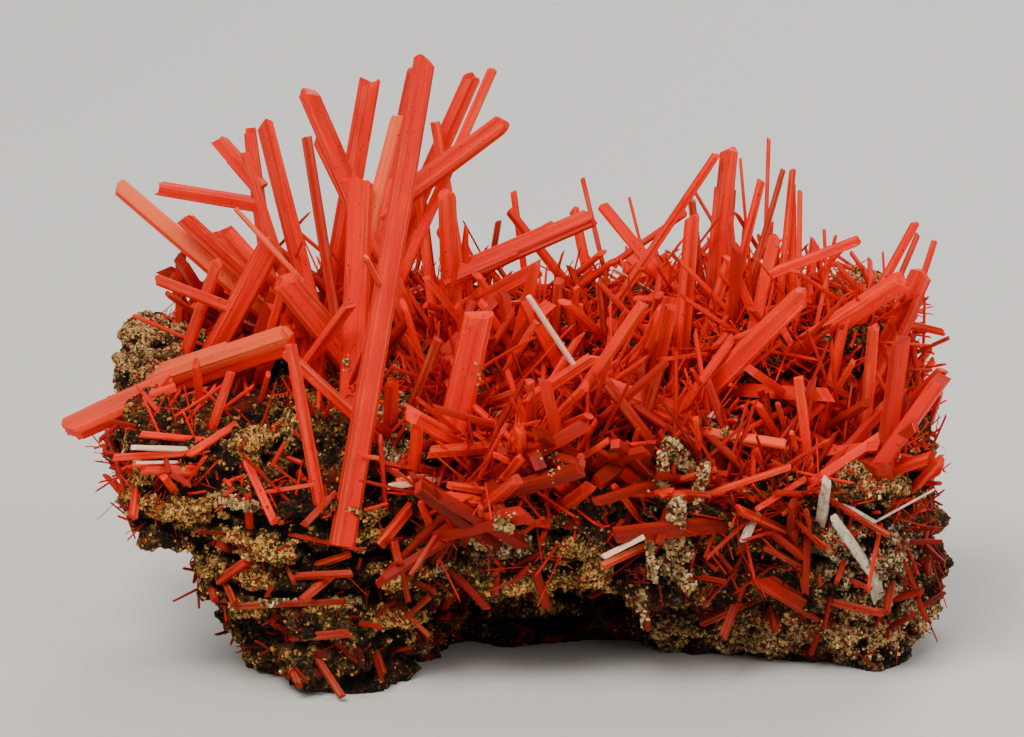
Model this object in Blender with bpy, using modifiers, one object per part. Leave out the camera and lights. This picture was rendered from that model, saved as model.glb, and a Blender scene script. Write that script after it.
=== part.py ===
# Crocoite specimen: long orange-red lead chromate prisms on a lump of porous gossan.
# Metres, +Z up. The specimen rests on the flat underside of its gossan, and its front faces -Y.
#
# Crystals are laid out as an eye in front of the specimen sees them: "across" runs to the right and
# "up" runs square to the line of sight, both in millimetres on the picture plane. A crystal's foot is
# where its line of sight meets the gossan, or another crystal that carries it, so a layout place
# needs no depth.
import math
import random
from collections import namedtuple

import bmesh
import bpy
from mathutils import Matrix, Vector
from mathutils.bvhtree import BVHTree

MM = 0.001

# Driving dimensions
SIGHT_TILT = math.radians(15)  # the eye looks down on the specimen by this much
AIM = Vector((0, 0, 47.1)) * MM  # the point that the eye looks at; the picture plane runs through it
AIM_UP = 56.1  # mm, its layout height
EYE_DISTANCE = 1185 * MM
GAP = 0.3 * MM  # free space between neighbouring solids
TIP_MARGIN = 1.5 * MM  # how far a crystal that carries another is lengthened as its cutter
CHAMFER = 0.2  # of a crystal's thickness, on its four long edges
ROOT = 3.0 * MM  # how far a crystal's axis runs on under the face that it grows from
EYE_AWAY = 200 * MM  # where a line of sight starts, well in front of the specimen
# To clear its neighbours a crystal's tip may lean to or fro, and its foot may move aside, in steps
LEAN_STEP = 1.5  # mm
LEAN_TRIES = 9
FOOT_STEP = 1.0  # mm
FOOT_RINGS = 5

GOSSAN_VOXEL = 1.8 * MM
GOSSAN_TRIANGLES = 1900
GOSSAN_ROUNDING = 5  # how often the blocks are smoothed
ROUGHNESS = (  # lumps and pits of the gossan: kind of noise, size of the pattern and depth in mm
    ("BLENDER_ORIGINAL", 19.0, 9.0),
    ("VORONOI_F1", 10.0, 7.0),
    ("BLENDER_ORIGINAL", 4.5, 2.6),
)

# One blocky mass of the gossan: centre and half-sizes in mm, its turn about the vertical, and its
# pitch, which lowers the side towards the eye
Mass = namedtuple("Mass", "name centre half turn pitch", defaults=(0,))
GOSSAN_MASSES = (
    Mass("left lobe", (-46, -2, 35), (18, 23, 9.5), 10, 8),
    Mass("left back", (-48, 11, 41), (15, 11, 8), -8),
    Mass("left step", (-37, -17, 25), (15, 12, 10), -10, 10),
    Mass("left shin", (-31, -17, 13), (12, 13, 9), 35),
    Mass("left foot", (-28, -17, 3), (9, 11, 12), 42),
    Mass("left heel", (-23, 0, 14), (11, 14, 23), 0),
    Mass("centre", (2, -4, 33), (31, 20, 13), 3, 18),
    Mass("centre brow", (-4, -20, 27), (20, 9, 9), -6, 20),
    Mass("centre foot", (6, 11, 10), (34, 12, 22), 0),
    Mass("centre back", (2, 15, 42), (38, 11, 13), -3, 10),
    Mass("right lobe", (45, -2, 21), (22, 17, 17), -14, 14),
    Mass("right foot", (45, 3, 7), (20, 13, 14), -14),
    Mass("right brow", (36, -15, 27), (17, 11, 10), 12, 20),
    Mass("right top", (48, 9, 44), (16, 13, 13), 15, 10),
    Mass("right ledge", (58, -11, 33), (11, 11, 3.2), 20),
)

# One crystal as the eye sees it, in mm. foot and tip are (across, up), lean is how much farther away
# the tip is than the foot, and carrier names the crystal that it grows from, if it isn't the gossan.
Prism = namedtuple("Prism", "foot tip width lean carrier", defaults=(0, None))
SPRAYS = {
    "tall_crystal": (Prism((-27.7, 30.8), (-14.3, 108.7), 3.9, 13),),
    "left_spray": (
        Prism((-56.2, 54.8), (-36.5, 61.3), 5.2, -11),
        Prism((-60.0, 52.5), (-75.2, 45.0), 4.5, -6),
        Prism((-24.3, 54.4), (-38.5, 71.5), 5.0, -9),
        Prism((-52.8, 57.0), (-39.8, 77.3), 3.9, -6),
        Prism((-54.5, 57.5), (-48.8, 74.6), 1.9, -4),
        Prism((-29.8, 58.2), (-49.2, 79.8), 3.9, 4),
        Prism((-38.5, 63.2), (-66.3, 87.2), 3.0, 2),
        Prism((-37.8, 59.5), (-43.8, 96.8), 2.5, 4),
        Prism((-33.0, 60.3), (-41.5, 98.2), 3.0, 4),
        Prism((-41.4, 83.5), (-59.8, 86.3), 2.4, 1, "left_spray_08"),
        Prism((-41.8, 86.0), (-49.5, 94.8), 2.8, 5, "left_spray_08"),
        Prism((-40.6, 70.2), (-55.6, 81.3), 3.2, 1, "left_spray_06"),
        Prism((-47.0, 66.5), (-60.0, 71.2), 1.9, 2, "left_spray_04"),
    ),
    "crown": (
        Prism((-26.5, 51.5), (-25.3, 89.3), 4.2, 2),
        Prism((-28.7, 57.5), (-16.0, 106.5), 2.5, 7),
        Prism((-30.5, 60.5), (-23.5, 105.3), 3.5, 9),
        Prism((-16.5, 62.0), (-34.5, 103.2), 3.4, 6),
        Prism((-26.0, 72.0), (-18.8, 98.8), 2.4, 7, "crown_01"),
        Prism((-24.0, 61.5), (-6.2, 105.8), 3.0, 10),
        Prism((-20.5, 62.0), (-3.0, 106.3), 1.8, 4),
        Prism((-21.4, 82.6), (-0.8, 97.8), 3.5, -2, "crown_02"),
        Prism((-7.0, 61.5), (-12.8, 97.5), 1.9, 4),
    ),
    "centre": (
        Prism((-10.3, 43.3), (-5.3, 66.2), 5.0, -5),
        Prism((-9.8, 60.0), (-11.0, 86.3), 3.1, 1),
        Prism((-10.2, 71.3), (14.2, 81.7), 3.2, 0, "centre_02"),
        Prism((-10.0, 65.0), (5.2, 73.2), 2.8, -6, "centre_02"),
        Prism((31.0, 64.0), (14.7, 83.7), 2.2, 4),
        Prism((8.0, 46.7), (22.2, 67.5), 2.0, -5),
        Prism((17.8, 50.8), (25.8, 66.5), 2.7, -4),
        Prism((-5.3, 45.5), (14.3, 58.5), 2.0, -5),
        Prism((31.3, 47.8), (14.3, 53.8), 2.7, -7),
    ),
    "right_spray": (
        Prism((30.0, 48.3), (49.7, 69.3), 3.9, -9),
        Prism((58.0, 49.5), (68.8, 72.8), 4.2, -2),
        Prism((27.7, 51.7), (30.2, 82.5), 2.8, -1),
        Prism((32.3, 62.0), (36.2, 93.3), 3.0, 3),
        Prism((47.0, 59.0), (66.0, 71.3), 3.3, -3),
        Prism((39.7, 60.0), (44.0, 78.8), 2.1, 0),
        Prism((30.5, 56.7), (36.8, 75.7), 1.8, -3),
        Prism((42.7, 71.5), (58.3, 77.7), 1.8, -1, "right_spray_06"),
        Prism((14.7, 63.0), (34.2, 92.0), 1.5, 3),
        Prism((35.5, 63.3), (41.7, 88.0), 1.6, 3),
        Prism((46.8, 65.0), (46.7, 87.5), 1.3, 2),
        Prism((58.0, 63.5), (67.5, 80.8), 1.5, 0),
        Prism((58.5, 41.5), (60.3, 63.7), 2.0, -3),
        Prism((49.8, 37.5), (47.7, 55.0), 1.7, -4),
        Prism((23.8, 46.7), (46.0, 43.3), 1.8, -9),
    ),
    "front": (
        Prism((-21.2, 43.7), (-38.2, 59.2), 2.0, -3),
        Prism((-32.0, 33.5), (-37.0, 60.5), 1.9, -5),
        Prism((-12.7, 38.3), (-22.3, 26.3), 1.9, -6),
        Prism((48.8, 16.3), (31.7, 27.7), 2.8, -4),
    ),
    "cerussite_blade": (
        Prism((60.3, 20.8), (54.0, 30.0), 2.4, -3),
        Prism((39.5, 45.0), (31.5, 47.2), 2.6, -3),
    ),
}

# A thicket: middle-sized crystals grown through each other. start is (x, y) in mm on top of the
# gossan, or (across, up) on its front, reach is how far from there its crystals may stand, and count
# how many there are.
Thicket = namedtuple("Thicket", "name start reach count seed face", defaults=("top",))
THICKETS = (
    Thicket("thicket_front", (22, 37), (36, 13), 24, 3, "front"),
    Thicket("thicket_centre", (4, -11), (22, 17), 18, 11),
    Thicket("thicket_right", (45, -10), (20, 16), 18, 23),
    Thicket("thicket_left", (-42, 4), (20, 10), 13, 35),
    Thicket("thicket_back_left", (-30, 16), (28, 8), 12, 47),
    Thicket("thicket_back_right", (32, 18), (28, 10), 11, 57),
)
THICKET_SPREAD = 0.62  # of its length, how far a crystal on the front may stand out from the gossan
THICKET_LENGTH = (13.0, 26.0)  # mm
THICKET_WIDTH = (1.4, 2.7)  # mm
THICKET_TRIES = 6000
THICKET_HIGHEST = 77.0  # mm up the layout; the crystals of a thicket show no higher
THICKET_FARTHEST = 33.0 * MM  # along Y; nor do their tips stand farther back
LEAST_CROSSING = math.radians(25)  # crystals that cross at less than this nearly share their faces
CROSSING_SPACE = 2.2 * MM  # between the places where crystals cross

CROCOITE = ("crocoite", (0.86, 0.085, 0.03), 0.28)
GOSSAN = ("gossan", (0.33, 0.20, 0.08), 0.92)
CERUSSITE = ("cerussite", (0.80, 0.77, 0.68), 0.45)

# A crystal in place: foot and tip are points of its axis, and surface is where the axis leaves
# the face that it grows from
Placed = namedtuple("Placed", "name foot tip surface width thickness roll carrier chamfered")


def clear_scene():
    for old in list(bpy.data.objects):
        bpy.data.objects.remove(old, do_unlink=True)


def new_collection(name):
    collection = bpy.data.collections.new(name)
    bpy.context.scene.collection.children.link(collection)
    return collection


def material_of(name, colour, roughness):
    material = bpy.data.materials.new(name)
    material.use_nodes = True
    shader = material.node_tree.nodes["Principled BSDF"]
    shader.inputs["Base Color"].default_value = (*colour, 1)
    shader.inputs["Roughness"].default_value = roughness
    shader.inputs["Metallic"].default_value = 0
    return material


def object_from(bm, name, collection, place=None):
    mesh = bpy.data.meshes.new(name)
    bm.to_mesh(mesh)
    bm.free()
    made = bpy.data.objects.new(name, mesh)
    collection.objects.link(made)
    if place is not None:
        made.matrix_world = place
    return made


def bake_modifiers(obj):
    """Makes what the modifiers give the object's own mesh."""
    bpy.context.view_layer.update()
    graph = bpy.context.evaluated_depsgraph_get()
    baked = bpy.data.meshes.new_from_object(obj.evaluated_get(graph))
    obj.modifiers.clear()
    obj.data = baked


def keep_largest_body(obj):
    """Drops the crumbs that a cut leaves, so that the piece is one body."""
    bm = bmesh.new()
    bm.from_mesh(obj.data)
    waiting = set(bm.verts)
    bodies = []
    while waiting:
        front = [waiting.pop()]
        body = set(front)
        while front:
            for edge in front.pop().link_edges:
                for vertex in edge.verts:
                    if vertex in waiting:
                        waiting.discard(vertex)
                        body.add(vertex)
                        front.append(vertex)
        bodies.append(body)
    bodies.sort(key=box_volume)
    crumbs = [vertex for body in bodies[:-1] for vertex in body]
    bmesh.ops.delete(bm, geom=crumbs, context="VERTS")
    bm.to_mesh(obj.data)
    bm.free()


def box_volume(vertices):
    spans = []
    for axis in range(3):
        along = [vertex.co[axis] for vertex in vertices]
        spans.append(max(along) - min(along))
    return spans[0] * spans[1] * spans[2]


def boolean(obj, other, operation):
    modifier = obj.modifiers.new(operation.title(), "BOOLEAN")
    modifier.operation = operation
    modifier.object = other
    bake_modifiers(obj)


# Layout


def sight_line():
    return Vector((0, math.cos(SIGHT_TILT), -math.sin(SIGHT_TILT)))


def upward():
    return Vector((0, math.sin(SIGHT_TILT), math.cos(SIGHT_TILT)))


def eye():
    return AIM - sight_line() * EYE_DISTANCE


def sight_point(across, up, depth):
    """The place at this depth (metres along Y) that the eye sees at (across, up)."""
    on_plane = AIM + Vector((across * MM, 0, 0)) + upward() * (up - AIM_UP) * MM
    ray = on_plane - eye()
    return eye() + ray * (depth - eye().y) / ray.y


def seen_at(point):
    """(across, up) of a place, in mm."""
    away = point - eye()
    scale = EYE_DISTANCE / away.dot(sight_line()) / MM
    return Vector((away.x * scale, away.dot(upward()) * scale + AIM_UP))


def segment_distance(p1, q1, p2, q2):
    """Least distance between two straight runs."""
    d1, d2, r = q1 - p1, q2 - p2, p1 - p2
    a, e, f = d1.dot(d1), d2.dot(d2), d2.dot(r)
    b, c = d1.dot(d2), d1.dot(r)
    spread = a * e - b * b
    s = min(1, max(0, (b * f - c * e) / spread)) if spread > 1e-16 else 0
    t = (b * s + f) / e
    if t < 0:
        t, s = 0, min(1, max(0, -c / a))
    elif t > 1:
        t, s = 1, min(1, max(0, (b - c) / a))
    return ((p1 + d1 * s) - (p2 + d2 * t)).length


def corner_reach(crystal):
    """How far a crystal's edges lie from its axis."""
    if crystal.chamfered:
        return math.hypot(crystal.width / 2, crystal.thickness * (0.5 - CHAMFER))
    return math.hypot(crystal.width, crystal.thickness) / 2


def free_space(crystal, other):
    apart = segment_distance(crystal.surface, crystal.tip, other.surface, other.tip)
    return apart - corner_reach(crystal) - corner_reach(other)


def blocked(crystal, placed):
    """The first placed crystal that this one comes too near to."""
    for other in placed.values():
        if other.name == crystal.carrier:
            continue
        if free_space(crystal, other) < GAP:
            return other.name
    return None


def gossan_under(gossan, foot, tip, name):
    """Where the line of sight to a crystal's foot meets the gossan.

    A foot that shows above the gossan slides back along the crystal's own line until it meets it.
    """
    back = (foot - Vector(tip)).normalized()
    for slide in range(15):
        start = sight_point(*(foot + back * slide), -EYE_AWAY)
        hit = gossan.ray_cast(start, start - eye())[0]
        if hit is not None:
            return hit
    raise ValueError(f"{name}: the eye sees no gossan at its foot {tuple(foot)}")


def axis_point_seen_at(crystal, place):
    """The point of a crystal's axis that the eye sees nearest to a layout place."""
    seen_foot = seen_at(crystal.foot)
    seen_axis = seen_at(crystal.tip) - seen_foot
    share = (place - seen_foot).dot(seen_axis) / seen_axis.length_squared
    return crystal.foot.lerp(crystal.tip, share)


def trials():
    """Shifts of the foot, (across, up) in mm, each with a change of lean: small ones first."""
    found = []
    for ring in range(FOOT_RINGS + 1):
        for turn in range(8 if ring else 1):
            angle = math.tau * turn / 8
            shift = Vector((math.cos(angle), math.sin(angle))) * ring * FOOT_STEP
            for lean in range(-LEAN_TRIES, LEAN_TRIES + 1):
                cost = 1.6 * ring * FOOT_STEP + 0.35 * abs(lean) * LEAN_STEP
                found.append((cost, shift, lean * LEAN_STEP))
    found.sort(key=lambda trial: trial[0])
    return [(shift, lean) for _, shift, lean in found]


def place_prism(row, name, gossan, placed, rng):
    """Moves the foot a little and leans the tip to or fro until the crystal clears all others."""
    thickness = row.width * rng.uniform(0.72, 0.9)
    if name.startswith("cerussite"):
        thickness = row.width * 0.55
    roll = math.radians(rng.uniform(-38, 38))
    in_the_way = None
    for shift, lean in trials():
        foot = Vector(row.foot) + shift
        if row.carrier:
            surface = axis_point_seen_at(placed[row.carrier], foot)
            root = 0
        else:
            surface = gossan_under(gossan, foot, row.tip, name)
            root = ROOT
        tip = sight_point(*row.tip, surface.y + (row.lean + lean) * MM)
        axis = (tip - surface).normalized()
        crystal = Placed(
            name,
            surface - axis * root,
            tip,
            surface - axis * root * 0.4,
            row.width * MM,
            thickness * MM,
            roll,
            row.carrier,
            True,
        )
        in_the_way = blocked(crystal, placed)
        if in_the_way is None:
            if shift.length or lean:
                print(name, "foot moved", *(round(part, 1) for part in shift), "lean changed", lean)
            return crystal
    raise ValueError(f"{name} can't clear {in_the_way}")


def ground_below(gossan, x, y):
    return gossan.ray_cast(Vector((x, y, EYE_AWAY)), Vector((0, 0, -1)))[0]


def depth_under(gossan, point):
    """How deep a point lies in the gossan; less than 0 outside it."""
    nearest, normal, _, _ = gossan.find_nearest(point)
    return (nearest - point).dot(normal)


def grow_thicket(row, gossan, placed):
    """Crystals rooted in the gossan that each run through the axis of an earlier one."""
    rng = random.Random(row.seed)
    grown = []
    crossings = []
    for _ in range(THICKET_TRIES):
        if len(grown) == row.count:
            break
        length = rng.uniform(*THICKET_LENGTH) * MM
        width = rng.uniform(*THICKET_WIDTH) * MM
        spot = [middle + reach * rng.uniform(-1, 1) for middle, reach in zip(row.start, row.reach)]
        if row.face == "front":
            start = sight_point(*spot, -EYE_AWAY)
            foot = gossan.ray_cast(start, start - eye())[0]
        else:
            foot = ground_below(gossan, spot[0] * MM, spot[1] * MM)
        if foot is None or foot.z < 15 * MM:
            continue
        if grown:
            host = min(grown, key=lambda other: (other.surface.lerp(other.tip, 0.5) - foot).length)
            crossing = host.surface.lerp(host.tip, rng.uniform(0.15, 0.85))
            heading = (crossing - foot).normalized()
            angle = heading.angle((host.tip - host.foot).normalized())
            if min(angle, math.pi - angle) < LEAST_CROSSING:
                continue
            if any((crossing - other).length < CROSSING_SPACE for other in crossings):
                continue
            if not 0.2 * length < (crossing - foot).length < 0.85 * length:
                continue
        else:
            crossing = None
            heading = Vector((rng.uniform(-0.6, 0.6), rng.uniform(-0.6, 0.6), 1)).normalized()
            if row.face == "front":
                heading = Vector((rng.uniform(-0.6, 0.6), -0.7, 0.6)).normalized()
        crystal = Placed(
            row.name,
            foot - heading * ROOT,
            foot + heading * length,
            foot,
            width,
            width * rng.uniform(0.75, 0.95),
            rng.uniform(0, math.pi),
            row.name,
            False,
        )
        if depth_under(gossan, crystal.foot) < width / 2 or depth_under(gossan, crystal.tip) > -width:
            continue
        if seen_at(crystal.tip).y > THICKET_HIGHEST or crystal.tip.y > THICKET_FARTHEST:
            continue
        if row.face == "front" and -depth_under(gossan, crystal.tip) > THICKET_SPREAD * length:
            continue
        if blocked(crystal._replace(surface=crystal.foot), placed):
            continue
        if crossing is not None:
            if depth_under(gossan, crossing) > -width:
                continue
            crossings.append(crossing)
        grown.append(crystal)
    return grown


# Solids


def gossan_solid(collection, guides):
    """The gossan: rounded masses run together, roughened, and cut flat where it rests."""
    bm = bmesh.new()
    for mass in GOSSAN_MASSES:
        place = (
            Matrix.Translation(Vector(mass.centre) * MM)
            @ Matrix.Rotation(math.radians(mass.turn), 4, "Z")
            @ Matrix.Rotation(math.radians(mass.pitch), 4, "X")
            @ Matrix.Diagonal((*(Vector(mass.half) * MM), 1))
        )
        bmesh.ops.create_cube(bm, size=2, matrix=place)
    gossan = object_from(bm, "matrix", collection)
    remesh(gossan)
    rounding = gossan.modifiers.new("Rounding", "SMOOTH")
    rounding.iterations = GOSSAN_ROUNDING
    for basis, size, depth in ROUGHNESS:
        pattern = bpy.data.textures.new("gossan lumps", "CLOUDS")
        pattern.noise_basis = basis
        pattern.noise_scale = size * MM
        pattern.noise_depth = 1
        rough = gossan.modifiers.new("Roughness", "DISPLACE")
        rough.texture = pattern
        rough.strength = depth * MM
        rough.mid_level = 0.5
    remesh(gossan)
    bake_modifiers(gossan)
    thin = gossan.modifiers.new("Facets", "DECIMATE")
    thin.ratio = GOSSAN_TRIANGLES / (2 * len(gossan.data.polygons))
    bake_modifiers(gossan)
    floor = bmesh.new()
    below = Matrix.Translation((0, 0, -20 * MM)) @ Matrix.Diagonal((0.4, 0.4, 40 * MM, 1))
    bmesh.ops.create_cube(floor, size=1, matrix=below)
    block = object_from(floor, "floor_cutter", guides)
    boolean(gossan, block, "DIFFERENCE")
    keep_largest_body(gossan)
    return gossan


def remesh(obj):
    skin = obj.modifiers.new("Skin", "REMESH")
    skin.mode = "VOXEL"
    skin.voxel_size = GOSSAN_VOXEL


def grown_copy(obj, collection):
    """The same shape, larger by the gap all round, to cut neighbours with."""
    larger = obj.copy()
    larger.data = obj.data.copy()
    larger.name = obj.name + "_cutter"
    collection.objects.link(larger)
    swell = larger.modifiers.new("Swell", "DISPLACE")
    swell.strength = GAP
    swell.mid_level = 0
    bake_modifiers(larger)
    return larger


def cut_off_root(body, gossan_cutter, gossan):
    """The larger copy folds over in narrow crevices, so the gossan itself cuts after it."""
    boolean(body, gossan_cutter, "DIFFERENCE")
    boolean(body, gossan, "DIFFERENCE")


def crystal_place(crystal):
    """The crystal's own frame: Z along its axis and X across the line of sight, then rolled."""
    along = (crystal.tip - crystal.foot).normalized()
    across = along.cross(sight_line()).normalized()
    facing = along.cross(across)
    turned = Matrix((across, facing, along)).transposed().to_4x4()
    return Matrix.Translation(crystal.foot) @ turned @ Matrix.Rotation(crystal.roll, 4, "Z")


def cut_tip(bm, point, slope, turn):
    """Cuts the tip off along a slanting plane and closes it."""
    normal = Vector(
        (math.sin(slope) * math.cos(turn), math.sin(slope) * math.sin(turn), math.cos(slope))
    )
    everything = bm.verts[:] + bm.edges[:] + bm.faces[:]
    bmesh.ops.bisect_plane(
        bm, geom=everything, plane_co=point, plane_no=normal, clear_outer=True, dist=1e-7
    )
    rim = [edge for edge in bm.edges if edge.is_boundary]
    bmesh.ops.holes_fill(bm, edges=rim, sides=0)


def crystal_solid(crystal, collection, rng, swell=0.0):
    """A slightly tapered prism with a slanting termination of one or two faces."""
    width, thickness = crystal.width + 2 * swell, crystal.thickness + 2 * swell
    length = (crystal.tip - crystal.foot).length
    slope = math.radians(rng.uniform(22, 48))
    turn = rng.uniform(0, 2 * math.pi)
    taper = rng.uniform(0.84, 0.97)
    bm = bmesh.new()
    bmesh.ops.create_cube(bm, size=1)
    for vertex in bm.verts:
        narrow = taper if vertex.co.z > 0 else 1
        rise = (vertex.co.z + 0.5) * (length + width)
        vertex.co = Vector((vertex.co.x * width * narrow, vertex.co.y * thickness * narrow, rise))
    if crystal.chamfered:
        long_edges = [
            edge for edge in bm.edges if abs(edge.verts[0].co.z - edge.verts[1].co.z) > length / 2
        ]
        bmesh.ops.bevel(
            bm, geom=long_edges, offset=CHAMFER * thickness, segments=1, affect="EDGES", profile=0.5
        )
    peak = Vector((0, 0, length - 0.35 * width * math.tan(slope)))
    cut_tip(bm, peak, slope, turn)
    if crystal.chamfered:
        ridge = Vector((0, 0, length - 0.1 * width))
        cut_tip(bm, ridge, slope * 0.9, turn + rng.uniform(2.0, 4.2))
    bmesh.ops.recalc_face_normals(bm, faces=bm.faces[:])
    return object_from(bm, crystal.name, collection, crystal_place(crystal))


def thicket_solid(crystals, collection, guides, rng):
    """Crossing crystals united in one body."""
    body = crystal_solid(crystals[0], collection, rng)
    for crystal in crystals[1:]:
        joining = crystal_solid(crystal, guides, rng)
        boolean(body, joining, "UNION")
        bpy.data.objects.remove(joining, do_unlink=True)
    return body


def main():
    clear_scene()
    specimen = new_collection("crocoite specimen")
    guides = new_collection("cutters")
    guides.hide_render = True
    crocoite, gossan_look, cerussite = (
        material_of(*finish) for finish in (CROCOITE, GOSSAN, CERUSSITE)
    )

    gossan = gossan_solid(specimen, guides)
    gossan.data.materials.clear()
    gossan.data.materials.append(gossan_look)
    gossan_cutter = grown_copy(gossan, guides)
    graph = bpy.context.evaluated_depsgraph_get()
    surface = BVHTree.FromObject(gossan, graph)

    rng = random.Random(5)
    placed = {}
    for spray, rows in SPRAYS.items():
        for number, row in enumerate(rows, start=1):
            name = spray if len(rows) == 1 else f"{spray}_{number:02d}"
            placed[name] = place_prism(row, name, surface, placed, rng)

    for name, crystal in placed.items():
        body = crystal_solid(crystal, specimen, rng)
        cut_off_root(body, gossan_cutter, gossan)
        if crystal.carrier:
            carrier = placed[crystal.carrier]
            along = (carrier.tip - carrier.foot).normalized()
            longer = carrier._replace(tip=carrier.tip + along * TIP_MARGIN)
            cutter = crystal_solid(longer, guides, rng, swell=1.4 * GAP)
            boolean(body, cutter, "DIFFERENCE")
        keep_largest_body(body)
        body.data.materials.clear()
        body.data.materials.append(cerussite if name.startswith("cerussite") else crocoite)

    # A thicket keeps clear of the whole length of what it grows between, roots too
    standing = {name: crystal._replace(surface=crystal.foot) for name, crystal in placed.items()}
    for row in THICKETS:
        crystals = grow_thicket(row, surface, standing)
        print(row.name, len(crystals), "crystals")
        body = thicket_solid(crystals, specimen, guides, rng)
        cut_off_root(body, gossan_cutter, gossan)
        keep_largest_body(body)
        body.data.materials.clear()
        body.data.materials.append(crocoite)
        for number, crystal in enumerate(crystals):
            standing[f"{row.name} {number}"] = crystal._replace(surface=crystal.foot, carrier=None)

    for helper in guides.objects:
        helper.hide_render = True
        helper.display_type = "WIRE"


main()
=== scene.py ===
import math
import random

import bmesh
import bpy
import numpy as np
from mathutils import Matrix, Vector, noise
from mathutils.bvhtree import BVHTree


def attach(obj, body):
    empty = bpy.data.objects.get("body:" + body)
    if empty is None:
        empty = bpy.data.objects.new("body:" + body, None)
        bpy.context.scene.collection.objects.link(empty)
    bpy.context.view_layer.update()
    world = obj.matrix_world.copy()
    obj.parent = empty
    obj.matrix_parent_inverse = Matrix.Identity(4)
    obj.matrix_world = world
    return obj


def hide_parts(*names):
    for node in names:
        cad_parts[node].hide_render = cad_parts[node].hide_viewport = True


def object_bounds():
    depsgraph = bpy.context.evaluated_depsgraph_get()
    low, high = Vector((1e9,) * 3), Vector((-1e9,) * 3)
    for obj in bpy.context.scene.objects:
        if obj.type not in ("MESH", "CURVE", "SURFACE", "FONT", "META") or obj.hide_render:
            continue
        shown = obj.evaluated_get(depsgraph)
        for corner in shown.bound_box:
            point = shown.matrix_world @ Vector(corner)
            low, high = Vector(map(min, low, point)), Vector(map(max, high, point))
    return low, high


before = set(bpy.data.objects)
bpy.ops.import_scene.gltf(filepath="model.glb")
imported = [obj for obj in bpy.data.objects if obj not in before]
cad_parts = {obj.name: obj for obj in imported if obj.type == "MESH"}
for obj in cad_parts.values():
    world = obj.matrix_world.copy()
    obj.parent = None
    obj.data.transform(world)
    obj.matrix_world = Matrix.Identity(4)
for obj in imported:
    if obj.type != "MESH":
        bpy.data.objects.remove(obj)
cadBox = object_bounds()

mm = 0.001

# The view is through a long lens, from a little above the specimen. Places on the picture are given
# as "across" and "up", in mm on the plane through the target that the lens looks at squarely.
view = {
    "tilt": math.radians(15),
    "lens": 250,  # mm on a 36 mm sensor
    "frameWide": 170.667 * mm,  # what the picture's width covers at the target
    "target": Vector((0, 0, 47.1)) * mm,
    "targetUp": 56.1,  # mm
}
sightLine = Vector((0, math.cos(view["tilt"]), -math.sin(view["tilt"])))
upward = Vector((0, math.sin(view["tilt"]), math.cos(view["tilt"])))
eye = view["target"] - sightLine * view["lens"] / 36 * view["frameWide"]


def addToScene(name, data):
    added = bpy.data.objects.new(name, data)
    bpy.context.scene.collection.objects.link(added)
    return added


def makeCamera():
    lens = bpy.data.cameras.new("camera")
    lens.lens = view["lens"]
    lens.sensor_width = 36
    lens.clip_start = 0.05
    lens.clip_end = 20
    camera = addToScene("camera", lens)
    camera.location = eye
    camera.rotation_euler = sightLine.to_track_quat("-Z", "Y").to_euler()
    bpy.context.scene.camera = camera


studio = {
    "floorSize": 6.0,
    "floorColour": (0.66, 0.64, 0.61, 1),
    "worldColour": (0.82, 0.82, 0.82, 1),
    "worldStrength": 0.34,
    # name: place, size, power in watts, colour
    "lamps": {
        "key": ((-0.40, -0.68, 1.10), 0.60, 18, (1.0, 0.96, 0.90)),
        "fill": ((0.95, -0.70, 0.70), 0.8, 9, (1.0, 0.97, 0.95)),
        "rim": ((0.30, 0.85, 0.80), 0.6, 8, (1.0, 0.97, 0.93)),
    },
}


def makeStudio():
    bpy.ops.mesh.primitive_plane_add(size=studio["floorSize"])
    floor = bpy.context.object
    floor.name = "floor"
    settings = {"Base Color": studio["floorColour"], "Roughness": 0.85}
    floor.data.materials.append(newMaterial("floorPaint", settings)[0])
    world = bpy.data.worlds.new("studio")
    bpy.context.scene.world = world
    world.use_nodes = True
    sky = world.node_tree.nodes["Background"]
    sky.inputs["Color"].default_value = studio["worldColour"]
    sky.inputs["Strength"].default_value = studio["worldStrength"]
    for name, (place, size, power, colour) in studio["lamps"].items():
        lamp = bpy.data.lights.new(name, "AREA")
        lamp.size = size
        lamp.energy = power
        lamp.color = colour
        stand = addToScene(name, lamp)
        stand.location = place
        aim = view["target"] - Vector(place)
        stand.rotation_euler = aim.to_track_quat("-Z", "Y").to_euler()


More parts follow.
